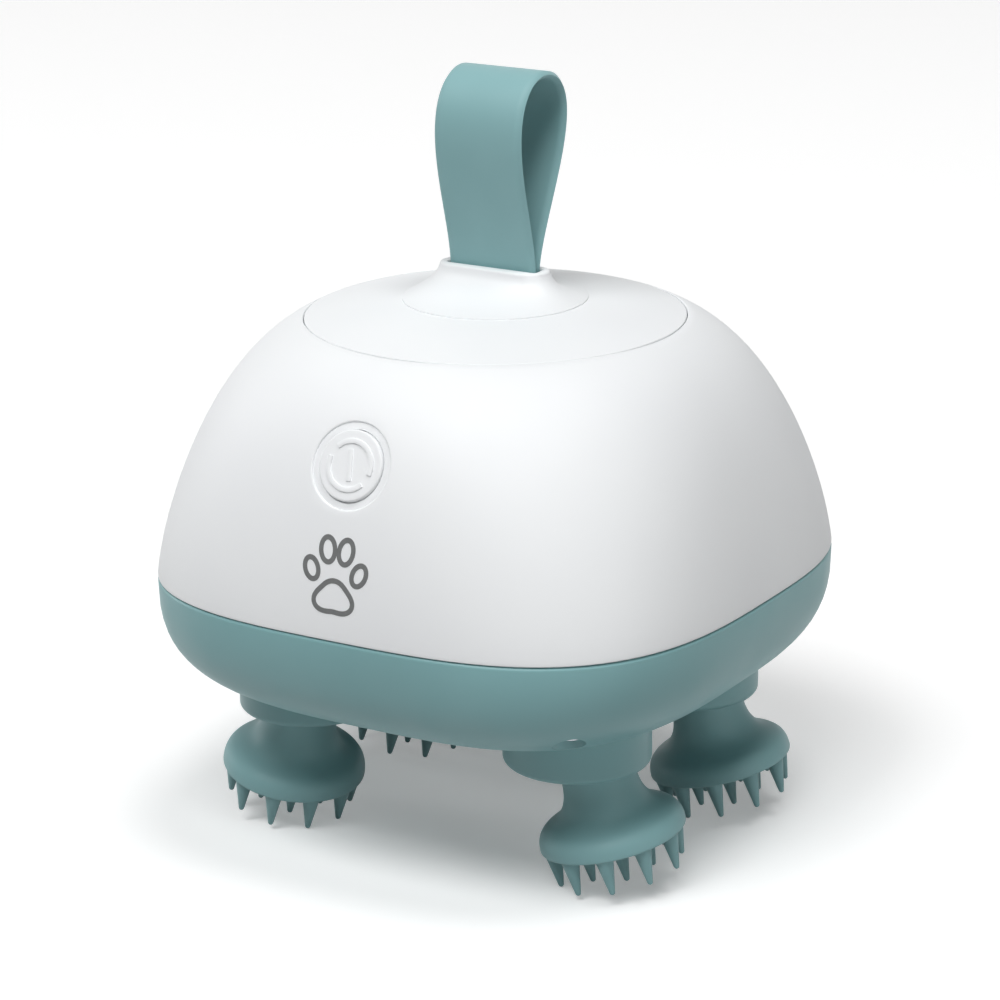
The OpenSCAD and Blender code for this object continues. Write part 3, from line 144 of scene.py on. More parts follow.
def plan_radius(half, power, angle):
    """Distance from the axis to the plan outline, a circle whose sides are squared up above power 2."""
    return half / (abs(math.cos(angle)) ** power + abs(math.sin(angle)) ** power) ** (1 / power)


def ring_of(radius_at, z, count=columns):
    """Ring of points round the axis; radius_at gives the radius in each direction."""
    return [
        Vector((radius_at(a) * math.cos(a), radius_at(a) * math.sin(a), z))
        for a in (2 * math.pi * k / count for k in range(count))
    ]


def circle(radius, z, count=columns):
    return ring_of(lambda angle: radius, z, count)


def bowl_ring(half, depth, t):
    """Ring of the bowl's surface, where t runs from a quarter turn at the floor to 0 at the seam."""
    share = math.cos(t) ** (2 / bowl_side_power)
    z = seam_z - depth * math.sin(t) ** (2 / bowl_floor_power)
    return ring_of(lambda angle: plan_radius(half * share, plan_power, angle), z)


def add_verts(mesh, points):
    return [mesh.verts.new(p) for p in points]


def bridge(mesh, first, second):
    """Quads between two rings of vertices of the same length."""
    for k in range(len(first)):
        j = (k + 1) % len(first)
        mesh.faces.new((first[k], first[j], second[j], second[k]))


def mesh_from_rings(rings, closed=False):
    """Mesh through a row of rings. The ends are capped, or joined to each other if it is closed."""
    mesh = bmesh.new()
    loops = [add_verts(mesh, ring) for ring in rings]
    for first, second in zip(loops, loops[1:]):
        bridge(mesh, first, second)
    if closed:
        bridge(mesh, loops[-1], loops[0])
    else:
        mesh.faces.new(loops[0][::-1])
        mesh.faces.new(loops[-1])
    return mesh


def lathe(profile, place=Matrix(), count=64):
    """Solid of revolution about the place's Z, from (radius, height) pairs. It is capped at both ends."""
    mesh = mesh_from_rings([circle(radius, z, count) for radius, z in profile])
    mesh.transform(place)
    return mesh


def join_meshes(meshes):
    """One mesh out of several, which are freed."""
    whole = bmesh.new()
    for mesh in meshes:
        data = bpy.data.meshes.new("part")
        mesh.to_mesh(data)
        mesh.free()
        whole.from_mesh(data)
        bpy.data.meshes.remove(data)
    return whole


def make_piece(mesh, name, sharp_degrees=34):
    """Object from a mesh, shaded smooth between its sharp edges."""
    bmesh.ops.recalc_face_normals(mesh, faces=mesh.faces)
    for face in mesh.faces:
        face.smooth = True
    for edge in mesh.edges:
        edge.smooth = edge.calc_face_angle(0) < math.radians(sharp_degrees)
    data = bpy.data.meshes.new(name)
    mesh.to_mesh(data)
    mesh.free()
    made = bpy.data.objects.new(name, data)
    bpy.context.scene.collection.objects.link(made)
    return made


def combine(mesh, tool, operation):
    """The first mesh with the second one joined to it or cut from it."""
    body = make_piece(mesh, "work_body")
    cutter = make_piece(tool, "work_tool")
    step = body.modifiers.new("step", "BOOLEAN")
    step.operation = operation
    step.solver = "EXACT"
    step.object = cutter
    evaluated = body.evaluated_get(bpy.context.evaluated_depsgraph_get())
    result = bmesh.new()
    result.from_mesh(evaluated.data)
    for used in (body, cutter):
        data = used.data
        bpy.data.objects.remove(used)
        bpy.data.meshes.remove(data)
    bmesh.ops.remove_doubles(result, verts=result.verts, dist=weld_distance)
    bmesh.ops.dissolve_degenerate(result, edges=result.edges, dist=weld_distance)
    return result


def arc(start_degrees, end_degrees, steps):
    """Cosines and sines along an arc."""
    turn = end_degrees - start_degrees
    angles = [math.radians(start_degrees + turn * k / steps) for k in range(steps + 1)]
    return [(math.cos(a), math.sin(a)) for a in angles]


def uprights(radius, low, high, places, count=64):
    """Upright cylinders, one at each place."""
    return [lathe([(radius, low), (radius, high)], Matrix.Translation((x, y, 0)), count) for x, y in places]


def linear_colour(code):
    """Linear colour of an sRGB hex value such as #7fa5a8."""
    shares = [int(code[k:k + 2], 16) / 255 for k in (1, 3, 5)]
    return tuple(s / 12.92 if s <= 0.04045 else ((s + 0.055) / 1.055) ** 2.4 for s in shares) + (1,)


def add_node(tree, kind, inputs, **settings):
    """Adds a node with its settings. An input is a value, or another node's output socket to link."""
    made = tree.nodes.new(kind)
    for name, value in settings.items():
        setattr(made, name, value)
    for socket, value in inputs.items():
        if isinstance(value, bpy.types.NodeSocket):
            tree.links.new(value, made.inputs[socket])
        else:
            made.inputs[socket].default_value = value
    return made


def new_material(name, **sockets):
    """Material with a Principled shader, whose sockets are set by name, and object coordinates."""
    material = bpy.data.materials.new(name)
    material.use_nodes = True
    shader = material.node_tree.nodes["Principled BSDF"]
    for socket, value in sockets.items():
        shader.inputs[socket.replace("_", " ")].default_value = value
    place = add_node(material.node_tree, "ShaderNodeTexCoord", {}).outputs["Object"]
    return material, material.node_tree, shader, place


def speckle(tree, place, size, detail=2.0):
    """Noise whose blotches have a real size."""
    inputs = {"Vector": place, "Scale": 1 / size, "Detail": detail}
    return add_node(tree, "ShaderNodeTexNoise", inputs).outputs["Fac"]


def spread(tree, value, low, high):
    """Noise stretched to a range; its own values lie mostly between a third and two thirds."""
    wide = {"Value": value, "From Min": 0.3, "From Max": 0.7, "To Min": low, "To Max": high}
    return add_node(tree, "ShaderNodeMapRange", wide).outputs["Result"]


def blend_colours(tree, share, first, second):
    """Colour between two others; the node's inputs are its share and its two colours."""
    inputs = {0: share, 6: linear_colour(first), 7: linear_colour(second)}
    return add_node(tree, "ShaderNodeMix", inputs, data_type="RGBA").outputs[2]


def bumps(tree, height, depth):
    """Normal of a relief of a real depth."""
    return add_node(tree, "ShaderNodeBump", {"Height": height, "Distance": depth}).outputs["Normal"]


def moulded(name, colour, deeper, blotch, rough_low, rough_high, grain, depth, **sockets):
    """A moulding: faint blotches of colour, uneven gloss and the fine grain of its mould."""
    material, tree, shader, place = new_material(name, **sockets)
    patches = spread(tree, speckle(tree, place, blotch), 0, 1)
    tree.links.new(blend_colours(tree, patches, colour, deeper), shader.inputs["Base Color"])
    gloss = speckle(tree, place, blotch / 3, 3)
    tree.links.new(spread(tree, gloss, rough_low, rough_high), shader.inputs["Roughness"])
    tree.links.new(bumps(tree, speckle(tree, place, grain, 3), depth), shader.inputs["Normal"])
    return material


def shelf_radius(inset):
    """Radius in each direction of the plan outline, a distance inside the case's edge."""
    return lambda angle: plan_radius(half_width - inset, plan_power, angle)


def bowl_rings(inset, crowding):
    """Rings from the floor up to the seam, a distance inside the surface. They crowd at the floor below a
    crowding of 1 and at the seam above it."""
    angles = [math.radians(bowl_last_angle * (1 - k / bowl_rows) ** crowding) for k in range(bowl_rows + 1)]
    return [bowl_ring(half_width - inset, bowl_depth - inset, angle) for angle in angles]


screw_reach = plan_radius(half_width - screw_inset, plan_power, screw_angle)
screw_places = [
    (side * screw_reach * math.cos(screw_angle), front * screw_reach * math.sin(screw_angle))
    for side, front in corners
]
rim_z = seam_z - joint_width / 2
low_rows = [ring for ring in bowl_rings(0, 0.8) if ring[0].z < rim_z - rim_fillet]
rim_rows = [
    ring_of(shelf_radius(rim_fillet * (1 - c)), rim_z - rim_fillet * (1 - s))
    for c, s in arc(0, 90, 4)
]
lip_rows = [
    ring_of(shelf_radius(wall - lip_width), rim_z),
    ring_of(shelf_radius(wall - lip_width), rim_z + lip_height),
    ring_of(shelf_radius(wall), rim_z + lip_height),
]
shell = mesh_from_rings(low_rows + rim_rows + lip_rows + bowl_rings(wall, 1.25)[::-1])
tower_low = case_low.z + wall / 2
tower_high = well_top_z + well_ceiling
towers = join_meshes(
    uprights(well_radius + well_wall, tower_low, tower_high, spindle_places)
    + uprights(screw_post_radius, screw_recess_top_z - wall, rim_z, screw_places, 48)
)
wall_middle = mesh_from_rings(bowl_rings(wall / 2, 1))
shell = combine(shell, combine(towers, wall_middle, "INTERSECT"), "UNION")
cuts = join_meshes(
    uprights(well_radius, case_low.z - wall, well_top_z, spindle_places, 96)
    + uprights(screw_recess_radius, case_low.z - wall, screw_recess_top_z, screw_places, 48)
)
shell = combine(shell, cuts, "DIFFERENCE")
bores = join_meshes(
    uprights(bush_radius, well_top_z - wall, well_top_z + 2 * wall, spindle_places)
    + uprights(screw_hole_radius, screw_recess_top_z - wall, rim_z + wall, screw_places, 32)
)
base_shell = make_piece(combine(shell, bores, "DIFFERENCE"), "bowl")

# ABS, injection moulded in a spark-eroded tool and left satin: the light runs out softly on it.
# Its grain is about 0.1 mm on the real case and is drawn three times as coarse, so that it shows.
teal_abs = moulded(
    "teal_abs", "#7daaad", "#77a3a6", 30 * mm, 0.40, 0.50, 0.3 * mm, 0.006 * mm, IOR=1.53
)
base_shell.data.materials.append(teal_abs)
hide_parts("base_shell")
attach(base_shell, "housing")

# Turning collars
# Four teal ABS drums stand in the wells of the bowl and turn with the spindles moulded into them.
# Their lower edge is rounded, and the silicone heads are pressed onto their cores.
collar_edge = 1.2 * mm
collar_chamfer = 0.3 * mm


def collar_mesh(centre_x, centre_y):
    flat = collar_radius - collar_edge
    low = collar_low.z
    high = collar_high.z
    profile = [(flat * share, low) for share in (0.2, 0.6, 0.9)]
    profile += [(flat + collar_edge * c, low + collar_edge * (1 + s)) for c, s in arc(-90, 0, 8)]
    profile += [(collar_radius, high - collar_chamfer), (collar_radius - collar_chamfer, high)]
    profile += [(flat / 2, high)]
    return lathe(profile, Matrix.Translation((centre_x, centre_y, 0)), 96)


for name, (x, y) in zip(corner_names, spindle_places):
    drum = make_piece(collar_mesh(x, y), f"drum_{name}")
    drum.data.materials.append(teal_abs)
    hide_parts(f"collar_{name}")
    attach(drum, name)

# Massage heads
# Four silicone heads, each moulded in one: a leaning neck flares in one smooth sweep into a disc with
# a crisp lower edge. Fifteen tapered tines stand under it, ten round its edge and five inside.
head_tilt = math.radians(13)
head_lean = math.radians(21)
pivot_rise = 13.2 * mm
head_reach = 27.4 * mm
neck_radius = 6.4 * mm
flare_start = 15.5 * mm
flare_hold = 10 * mm
shoulder_hold = 5.8 * mm
disc_radius = 12.75 * mm
disc_edge = 0.3 * mm
flare_steps = 44
outer_tines = 10
outer_ring_radius = 10.7 * mm
inner_tines = 5
inner_ring_radius = 5.6 * mm
tine_length = 6.6 * mm
tine_radius = 1.6 * mm
tine_tip = 0.5 * mm
tine_root_fillet = 0.12 * mm
tine_sink = 0.3 * mm
spare_neck = 4 * mm


def bezier_point(handles, share):
    """Point of a curve that leaves its first point and reaches its last one along its handles."""
    rest = 1 - share
    weights = (rest ** 3, 3 * rest ** 2 * share, 3 * rest * share ** 2, share ** 3)
    return tuple(sum(w * handle[axis] for w, handle in zip(weights, handles)) for axis in (0, 1))


def head_profile():
    """Outline from the middle of the tine face to the neck, as (radius, height) below the pivot."""
    edge_z = -head_reach + disc_edge
    face = [((disc_radius - disc_edge) * share, -head_reach) for share in (0.08, 0.3, 0.6, 0.85)]
    edge = [(disc_radius - disc_edge * (1 - c), edge_z + disc_edge * s) for c, s in arc(-90, 0, 5)]
    handles = [
        (disc_radius, edge_z), (disc_radius, edge_z + shoulder_hold),
        (neck_radius, -flare_start - flare_hold), (neck_radius, -flare_start),
    ]
    return face + edge + [bezier_point(handles, k / flare_steps) for k in range(1, flare_steps + 1)]


def tine_profile():
    """Outline of a tine from its tip up to its filleted root, as (radius, height) below the tine face."""
    tip = [(tine_tip * s, -tine_length + tine_tip * (1 - c)) for c, s in arc(8, 80, 5)]
    fillet = tine_root_fillet
    root = [(tine_radius + fillet * (1 - s), -fillet * (1 - c)) for c, s in arc(90, 0, 4)]
    return tip + root + [(tine_radius + fillet, tine_sink)]


def head_mesh():
    """One head about its own axis, with the neck left long."""
    body = lathe(head_profile() + [(neck_radius, spare_neck)], count=96)
    tines = []
    rings = ((outer_tines, outer_ring_radius, math.pi / outer_tines), (inner_tines, inner_ring_radius, 0))
    for count, radius, first_angle in rings:
        for k in range(count):
            angle = first_angle + k * 2 * math.pi / count
            place = Matrix.Translation((radius * math.cos(angle), radius * math.sin(angle), -head_reach))
            tines.append(lathe(tine_profile(), place, 28))
    return combine(body, join_meshes(tines), "UNION")


def trim_above(mesh, z):
    """Cuts away what lies above a height and closes the cut."""
    cut = bmesh.ops.bisect_plane(
        mesh, geom=mesh.verts[:] + mesh.edges[:] + mesh.faces[:],
        plane_co=(0, 0, z), plane_no=(0, 0, 1), clear_outer=True,
    )
    edges = [part for part in cut["geom_cut"] if isinstance(part, bmesh.types.BMEdge)]
    bmesh.ops.contextual_create(mesh, geom=edges)


# Silicone, compression moulded: soft and matt, with a faint bloom at grazing angles. The mould's
# grain is drawn three times as coarse as it is.
teal_silicone = moulded(
    "teal_silicone", "#8ab4b7", "#82acaf", 22 * mm, 0.46, 0.58, 0.3 * mm, 0.006 * mm,
    IOR=1.43, Sheen_Weight=0.12, Sheen_Roughness=0.4
)
pattern = head_mesh()
for name, (x, y) in zip(corner_names, spindle_places):
    mesh = pattern.copy()
    lean = head_lean if x > 0 else math.pi - head_lean
    mesh.transform(
        Matrix.Translation((x, y, collar_low.z + pivot_rise))
        @ Matrix.Rotation(lean, 4, "Z")
        @ Matrix.Rotation(-head_tilt, 4, "Y")
    )
    trim_above(mesh, collar_low.z)
    head = make_piece(mesh, f"head_{name}", 50)
    head.data.materials.append(teal_silicone)
    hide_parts(f"massage_head_{name}")
    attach(head, name)
pattern.free()

# White shell
# The upper half of the case: a white ABS dome, rounded square at the seam and round at the top, with
# a stepped opening for the cover, a bored recess for the button and one for the charging pad.
cover_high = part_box("top_cover")[1]
pad_low, pad_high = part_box("charge_pad")
pad_z = (pad_low.z + pad_high.z) / 2
dome_height = 46 * mm
dome_side_power = 5.37
dome_top_power = 1.34
dome_rows = 44
search_reach = 12 * mm
cover_radius = cover_high.x
cover_gap = 0.15 * mm
cover_edge = 0.2 * mm
cover_thickness = 2.3 * mm
cover_crown = 3.6 * mm
crown_power = 2.4
skirt_radius = 16 * mm
skirt_height = 5.6 * mm
ledge_radius = 27.5 * mm
ledge_thickness = 2.2 * mm
foot_fillet = 0.25 * mm
rebate = 1.35 * mm
rebate_height = 2.95 * mm
button_rise = 28.4 * mm
button_radius = 6 * mm
button_gap = 0.1 * mm
button_ring = 1.25 * mm
button_ring_depth = 0.36 * mm
opening_fillet = 0.3 * mm
bore_chamfer = [(0.15 * mm, 0), (0.04 * mm, 0.05 * mm), (0, 0.16 * mm)]
pad_width = 18 * mm
pad_height = 8 * mm
pad_rim = 1.1 * mm
pad_gap = 0.2 * mm
pad_recess = 0.7 * mm
button_window_reach = 11.5 * mm
pad_window_reach = 13.5 * mm
window_columns = 20


def dome_share(height, full_height):
    """Share of the half width that the dome keeps at a height above the seam."""
    return max(0.0, 1 - (height / full_height) ** dome_top_power) ** (1 / dome_side_power)


def dome_radius(share, half, angle):
    """Radius of the dome in a direction; its plan turns from a rounded square into a circle."""
    return plan_radius(half * share, 2 + (plan_power - 2) * share ** dome_side_power, angle)


def dome_point(t, half, full_height, angle):
    share = math.cos(t) ** (2 / dome_side_power)
    radius = dome_radius(share, half, angle)
    height = full_height * math.sin(t) ** (2 / dome_top_power)
    return Vector((radius * math.cos(angle), radius * math.sin(angle), seam_z + height))


def solve(inside, low, high, steps=40):
    """Value at which a test that holds at low begins to fail."""
    for _ in range(steps):
        middle = (low + high) / 2
        if inside(middle):
            low = middle
        else:
            high = middle
    return low


def dome_rows_of(half, full_height, low_z, is_last):
    """Rows of points up the dome, from a height to where is_last says that a point lies past the end."""
    start = math.asin(((low_z - seam_z) / full_height) ** (dome_top_power / 2))
    angles = [2 * math.pi * k / columns for k in range(columns)]
    ends = [
        solve(lambda t: not is_last(dome_point(t, half, full_height, a)), start, math.pi / 2)
        for a in angles
    ]
    return [
        [
            dome_point(start + (end - start) * k / dome_rows, half, full_height, a)
            for a, end in zip(angles, ends)
        ]
        for k in range(dome_rows + 1)
    ]


def surface_hit(half, full_height, origin, normal):
    """Point where a line along the normal leaves the dome."""
    def is_inside(step):
        point = origin + step * normal
        height = point.z - seam_z
        if height <= 0 or height >= full_height:
            return height <= 0
        angle = math.atan2(point.y, point.x)
        share = dome_share(height, full_height)
        return math.hypot(point.x, point.y) < dome_radius(share, half, angle)
    return origin + solve(is_inside, -search_reach, search_reach) * normal


def open_window(mesh, grid, rows, cols, centre, across, normal, outline, steps, surface):
    """Fills a window in a grid of vertices with rings that lead into an opening, and gives back the last
    ring. A step is a share of the way from the window's edge to the outline, or how far the outline has
    grown and its depth."""
    up = normal.cross(across)
    low, high = rows
    left, right = cols
    border = [grid[low][c] for c in range(left, right)]
    border += [grid[r][right] for r in range(low, high)]
    border += [grid[high][c] for c in range(right, left, -1)]
    border += [grid[r][left] for r in range(high, low, -1)]
    flat = [((v.co - centre).dot(across), (v.co - centre).dot(up)) for v in border]
    last = border
    for step in steps:
        points = []
        for x, y in flat:
            edge_x, edge_y = outline(math.atan2(y, x), step[0] if len(step) == 2 else steps[-1][0])
            if len(step) == 1:
                first_x, first_y = outline(math.atan2(y, x), outer_growth(steps))
                edge_x = x + (first_x - x) * step[0]
                edge_y = y + (first_y - y) * step[0]
            spot = surface_hit(*surface, centre + edge_x * across + edge_y * up, normal)
            points.append(spot - (step[1] if len(step) == 2 else 0) * normal)
        ring = add_verts(mesh, points)
        bridge(mesh, last, ring)
        last = ring
    return last


def outer_growth(steps):
    """How far the outline has grown where it first meets the surface."""
    return next(step[0] for step in steps if len(step) == 2)


def stadium(half_length, half_height):
    """Outline of an opening with round ends, as a function of direction and growth."""
    straight = half_length - half_height

    def outline(angle, growth):
        radius = half_height + growth
        c, s = abs(math.cos(angle)), abs(math.sin(angle))
        if s * straight > c * radius:
            reach = radius / s
        else:
            reach = straight * c + math.sqrt(radius ** 2 - (straight * s) ** 2)
        return reach * math.cos(angle), reach * math.sin(angle)
    return outline


def rounded_steps(growth, depth, fillet):
    """Steps over a filleted edge, from the surface down to a depth."""
    return [(growth + fillet * (1 - s), fillet * (1 - c)) for c, s in arc(0, 90, 4)] + [(growth, depth)]


def window_of(rows, z, middle_column, reach):
    """Rows and columns of a window round a place on the dome."""
    heights = [row[middle_column].z for row in rows]
    inside = [k for k, height in enumerate(heights) if abs(height - z) < reach]
    wide = [
        c for c in range(middle_column - window_columns, middle_column + window_columns + 1)
        if abs(rows[inside[0]][c % columns].x) < reach
    ]
    return (inside[0], inside[-1]), (wide[0], wide[-1])


mouth_z = cover_high.z
skirt_foot_z = mouth_z - skirt_height
cover_edge_z = skirt_foot_z - cover_crown * (1 - (skirt_radius / cover_radius) ** crown_power)
ledge_z = cover_edge_z - cover_thickness
foot_z = seam_z + joint_width / 2
seat_radius = cover_radius + cover_gap
outer_rows = dome_rows_of(
    half_width, dome_height, foot_z + foot_fillet,
    lambda p: math.hypot(p.x, p.y) < seat_radius + cover_edge,
)
inner_height = dome_height - wall
inner_half = half_width - wall
inner_rows = dome_rows_of(
    inner_half, inner_height, seam_z + rebate_height, lambda p: p.z > ledge_z - ledge_thickness
)

dome = bmesh.new()
outer_grid = [add_verts(dome, row) for row in outer_rows]
inner_grid = [add_verts(dome, row) for row in inner_rows]
button_column = columns * 3 // 4
pad_column = columns // 4
button_z = seam_z + button_rise
button_share = dome_share(button_rise, dome_height)
button_tilt = math.atan2(
    dome_top_power * (button_rise / dome_height) ** (dome_top_power - 1) / dome_height,
    dome_side_power * button_share ** (dome_side_power - 1) / half_width,
)
button_normal = Vector((0, -math.cos(button_tilt), math.sin(button_tilt)))
button_centre = Vector((0, -half_width * button_share, button_z))
bore_radius = button_radius + button_gap
button_steps = [(0.3,), (0.55,), (0.78,)] + rounded_steps(button_ring, button_ring_depth, opening_fillet)
button_steps += [(growth, button_ring_depth + depth) for growth, depth in bore_chamfer]
pad_centre = Vector((0, half_width * dome_share(pad_z - seam_z, dome_height), pad_z))
pad_steps = [(0.35,), (0.7,)] + rounded_steps(pad_rim - pad_gap, pad_recess, opening_fillet)
pad_steps += [(0, pad_recess)]
openings = [
    (button_column, button_centre, Vector((1, 0, 0)), button_normal, stadium(bore_radius, bore_radius),
     button_steps, button_window_reach),
    (pad_column, pad_centre, Vector((-1, 0, 0)), Vector((0, 1, 0)),
     stadium(pad_width / 2 + pad_gap, pad_height / 2 + pad_gap), pad_steps, pad_window_reach),
]
holes = []
for column, centre, across, normal, outline, steps, reach in openings:
    rows, cols = window_of(outer_rows, centre.z, column, reach)
    holes.append((rows, cols))
    outer_ring = open_window(
        dome, outer_grid, rows, cols, centre, across, normal, outline, steps, (half_width, dome_height)
    )
    inner_ring = open_window(
        dome, inner_grid, rows, cols, centre, across, normal, outline, [(0.5,), (0, 0)],
        (inner_half, inner_height)
    )
    bridge(dome, outer_ring, inner_ring)


def fill_grid(mesh, grid, windows):
    """Faces between the rows of a grid, outside its windows."""
    for r in range(len(grid) - 1):
        for c in range(columns):
            if any(rows[0] <= r < rows[1] and cols[0] <= c < cols[1] for rows, cols in windows):
                continue
            d = (c + 1) % columns
            mesh.faces.new((grid[r][c], grid[r][d], grid[r + 1][d], grid[r + 1][c]))


fill_grid(dome, outer_grid, holes)
fill_grid(dome, inner_grid, holes)
seat_top = outer_rows[-1]
mouth_rows = [
    [
        Vector((p.x, p.y, 0)).normalized() * (seat_radius + cover_edge * (1 - s))
        + Vector((0, 0, p.z - cover_edge * (1 - c)))
        for p in seat_top
    ]
    for c, s in arc(0, 90, 4)[1:]
]
mouth_rows += [circle(seat_radius, ledge_z), circle(ledge_radius, ledge_z)]
mouth_rows += [circle(ledge_radius, ledge_z - ledge_thickness)]
foot_rows = [
    ring_of(shelf_radius(foot_fillet * (1 - c)), foot_z + foot_fillet * (1 - s))
    for c, s in arc(0, 90, 4)[1:]
]
foot_rows += [ring_of(shelf_radius(rebate), foot_z), ring_of(shelf_radius(rebate), seam_z + rebate_height)]
closing_strips = [(outer_grid[-1], mouth_rows, inner_grid[-1]), (outer_grid[0], foot_rows, inner_grid[0])]
for start, rows, end in closing_strips:
    last = start
    for row in rows:
        ring = add_verts(dome, row)
        bridge(dome, last, ring)
        last = ring
    bridge(dome, last, end)
white_shell = make_piece(dome, "dome", 40)

# White ABS, moulded in a finely blasted tool: it is bright and satin, and the studio shows in it only
# as soft pools of light. The blasted grain is drawn three times as coarse.
white_abs = moulded(
    "white_abs", "#f1f3f4", "#edeff1", 40 * mm, 0.52, 0.6, 0.3 * mm, 0.003 * mm, IOR=1.53
)
white_shell.data.materials.append(white_abs)
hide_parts("top_shell")
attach(white_shell, "housing")

# Top cover
# A round white ABS disc, slightly crowned, that closes the dome. A skirt flares up from it into the
# flat mouth that the strap comes out of, and the strap's pin sits in a socket on its underside.
skirt_step = 0.22 * mm
mouth_half_length = 10.55 * mm
mouth_half_width = 3.25 * mm
slot_half_length = 8.85 * mm
slot_half_width = 1.55 * mm
slot_corner = 0.5 * mm
slot_fillet = 0.3 * mm
mouth_fillet = 0.5 * mm
socket_half_length = 11.25 * mm
socket_half_width = 5.4 * mm
socket_corner = 1 * mm
socket_drop = 3 * mm
underside_radius = 15 * mm
underside_step = 6 * mm
disc_rings = 12
skirt_rings = 18
corner_slack = 1e-6
ledge_play = 0.5 * mm
skirt_side_power = 1.9
skirt_front_power = 3.2
cover_skin = 2.2 * mm
pin_low, pin_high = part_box("strap_pin")
pin_z = (pin_low.z + pin_high.z) / 2
pin_radius = (pin_high.z - pin_low.z) / 2
socket_z = pin_z - socket_drop
cover_columns = 144


def crown_z(radius):
    """Height of the cover's upper face."""
    return cover_edge_z + cover_crown * (1 - (radius / cover_radius) ** crown_power)


def rounded_rectangle(half_length, half_width, corner, z, count=cover_columns):
    """Ring with rounded corners, evenly spaced, that starts in the middle of the right-hand side."""
    long_side = 2 * (half_length - corner)
    short_side = 2 * (half_width - corner)
    turn = math.pi / 2 * corner
    stretches = [short_side / 2, turn, long_side, turn, short_side, turn, long_side, turn, short_side / 2]
    ring = []
    for k in range(count):
        left = sum(stretches) * k / count
        at = 0
        while left > stretches[at]:
            left -= stretches[at]
            at += 1
        quarter = (at + 1) // 2 % 4
        if at % 2:
            angle = math.pi / 2 * (quarter - 1) + left / corner
            side = (1 if quarter in (1, 0) else -1, 1 if quarter in (1, 2) else -1)
            x = side[0] * (half_length - corner) + corner * math.cos(angle)
            y = side[1] * (half_width - corner) + corner * math.sin(angle)
        elif at in (0, 8):
            x = half_length
            y = left if at == 0 else left - short_side / 2
        elif at == 4:
            x = -half_length
            y = short_side / 2 - left
        else:
            y = half_width if at == 2 else -half_width
            x = (long_side / 2 - left) * (1 if at == 2 else -1)
        ring.append(Vector((x, y, z)))
    return ring


def skirt_ring(rise, grow=0.0, lift=0.0):
    """Ring of the skirt, from the circle of its foot to its flat mouth."""
    fall = 1 - rise
    across = mouth_half_length + (skirt_radius - mouth_half_length) * fall ** skirt_side_power + grow
    along = mouth_half_width + (skirt_radius - mouth_half_width) * fall ** skirt_front_power + grow
    z = skirt_foot_z + skirt_step + (skirt_height - skirt_step) * rise + lift
    return rounded_rectangle(across, along, along - corner_slack, z)


rise_of_fillet = mouth_fillet / (skirt_height - skirt_step)
disc_width = cover_radius - cover_edge - skirt_radius
disc_radii = [skirt_radius + disc_width * k / disc_rings for k in range(disc_rings + 1)]
cover_rows = [rounded_rectangle(slot_half_length, slot_half_width, slot_corner, socket_z)]
cover_rows += [
    rounded_rectangle(
        slot_half_length + slot_fillet * (1 - c), slot_half_width + slot_fillet * (1 - c), slot_corner,
        mouth_z - slot_fillet * (1 - s)
    )
    for c, s in arc(0, 90, 4)
]
cover_rows += [
    skirt_ring(1, -mouth_fillet * (1 - c), -mouth_fillet * (1 - s)) for c, s in arc(90, 0, 6)
]
cover_rows += [
    skirt_ring(1 - rise_of_fillet - (1 - rise_of_fillet) * k / skirt_rings)
    for k in range(1, skirt_rings + 1)
]
cover_rows += [circle(radius, crown_z(radius), cover_columns) for radius in disc_radii]
cover_rows += [
    circle(cover_radius - cover_edge * (1 - s), crown_z(cover_radius - cover_edge) - cover_edge * (1 - c),
           cover_columns)
    for c, s in arc(0, 90, 4)[1:]
]
underside_z = crown_z(underside_radius) - cover_skin
cover_rows += [circle(cover_radius, ledge_z, cover_columns)]
cover_rows += [circle(ledge_radius - ledge_play, ledge_z, cover_columns)]
cover_rows += [
    circle(radius, crown_z(radius) - cover_skin, cover_columns)
    for radius in (ledge_radius - ledge_play, underside_radius + underside_step, underside_radius)
]
cover_rows += [
    rounded_rectangle(socket_half_length, socket_half_width, socket_corner, underside_z),
    rounded_rectangle(socket_half_length, socket_half_width, socket_corner, socket_z),
]
top_cover = make_piece(mesh_from_rings(cover_rows, closed=True), "cover", 30)
top_cover.data.materials.append(white_abs)
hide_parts("top_cover")
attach(top_cover, "housing")

# Finger strap
# A moulded silicone band, 17 mm wide, folded into a loop. Its two ends come together in the mouth of
# the cover and go round a steel pin below it. The loop swells, leans back and has softly rounded edges.
strap_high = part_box("strap")[1]
strap_half_width = strap_high.x
strap_thickness = 1.2 * mm
strap_layer_gap = 0.1 * mm
strap_height = strap_high.z - mouth_z
strap_front_bulge = 6.6 * mm
strap_back_bulge = 7.8 * mm
strap_lean = 3 * mm
strap_lean_power = 1.3
strap_power = 2
strap_edge_radius = 0.55 * mm
pin_play = 0.05 * mm
eye_steps = 16
tail_steps = 4
strap_steps = 110
section_points = 40


def strap_shape(t):
    """How far the loop stands out sideways, where t runs once round it from its foot."""
    return math.sin(t) * abs(math.sin(t / 2)) ** strap_power


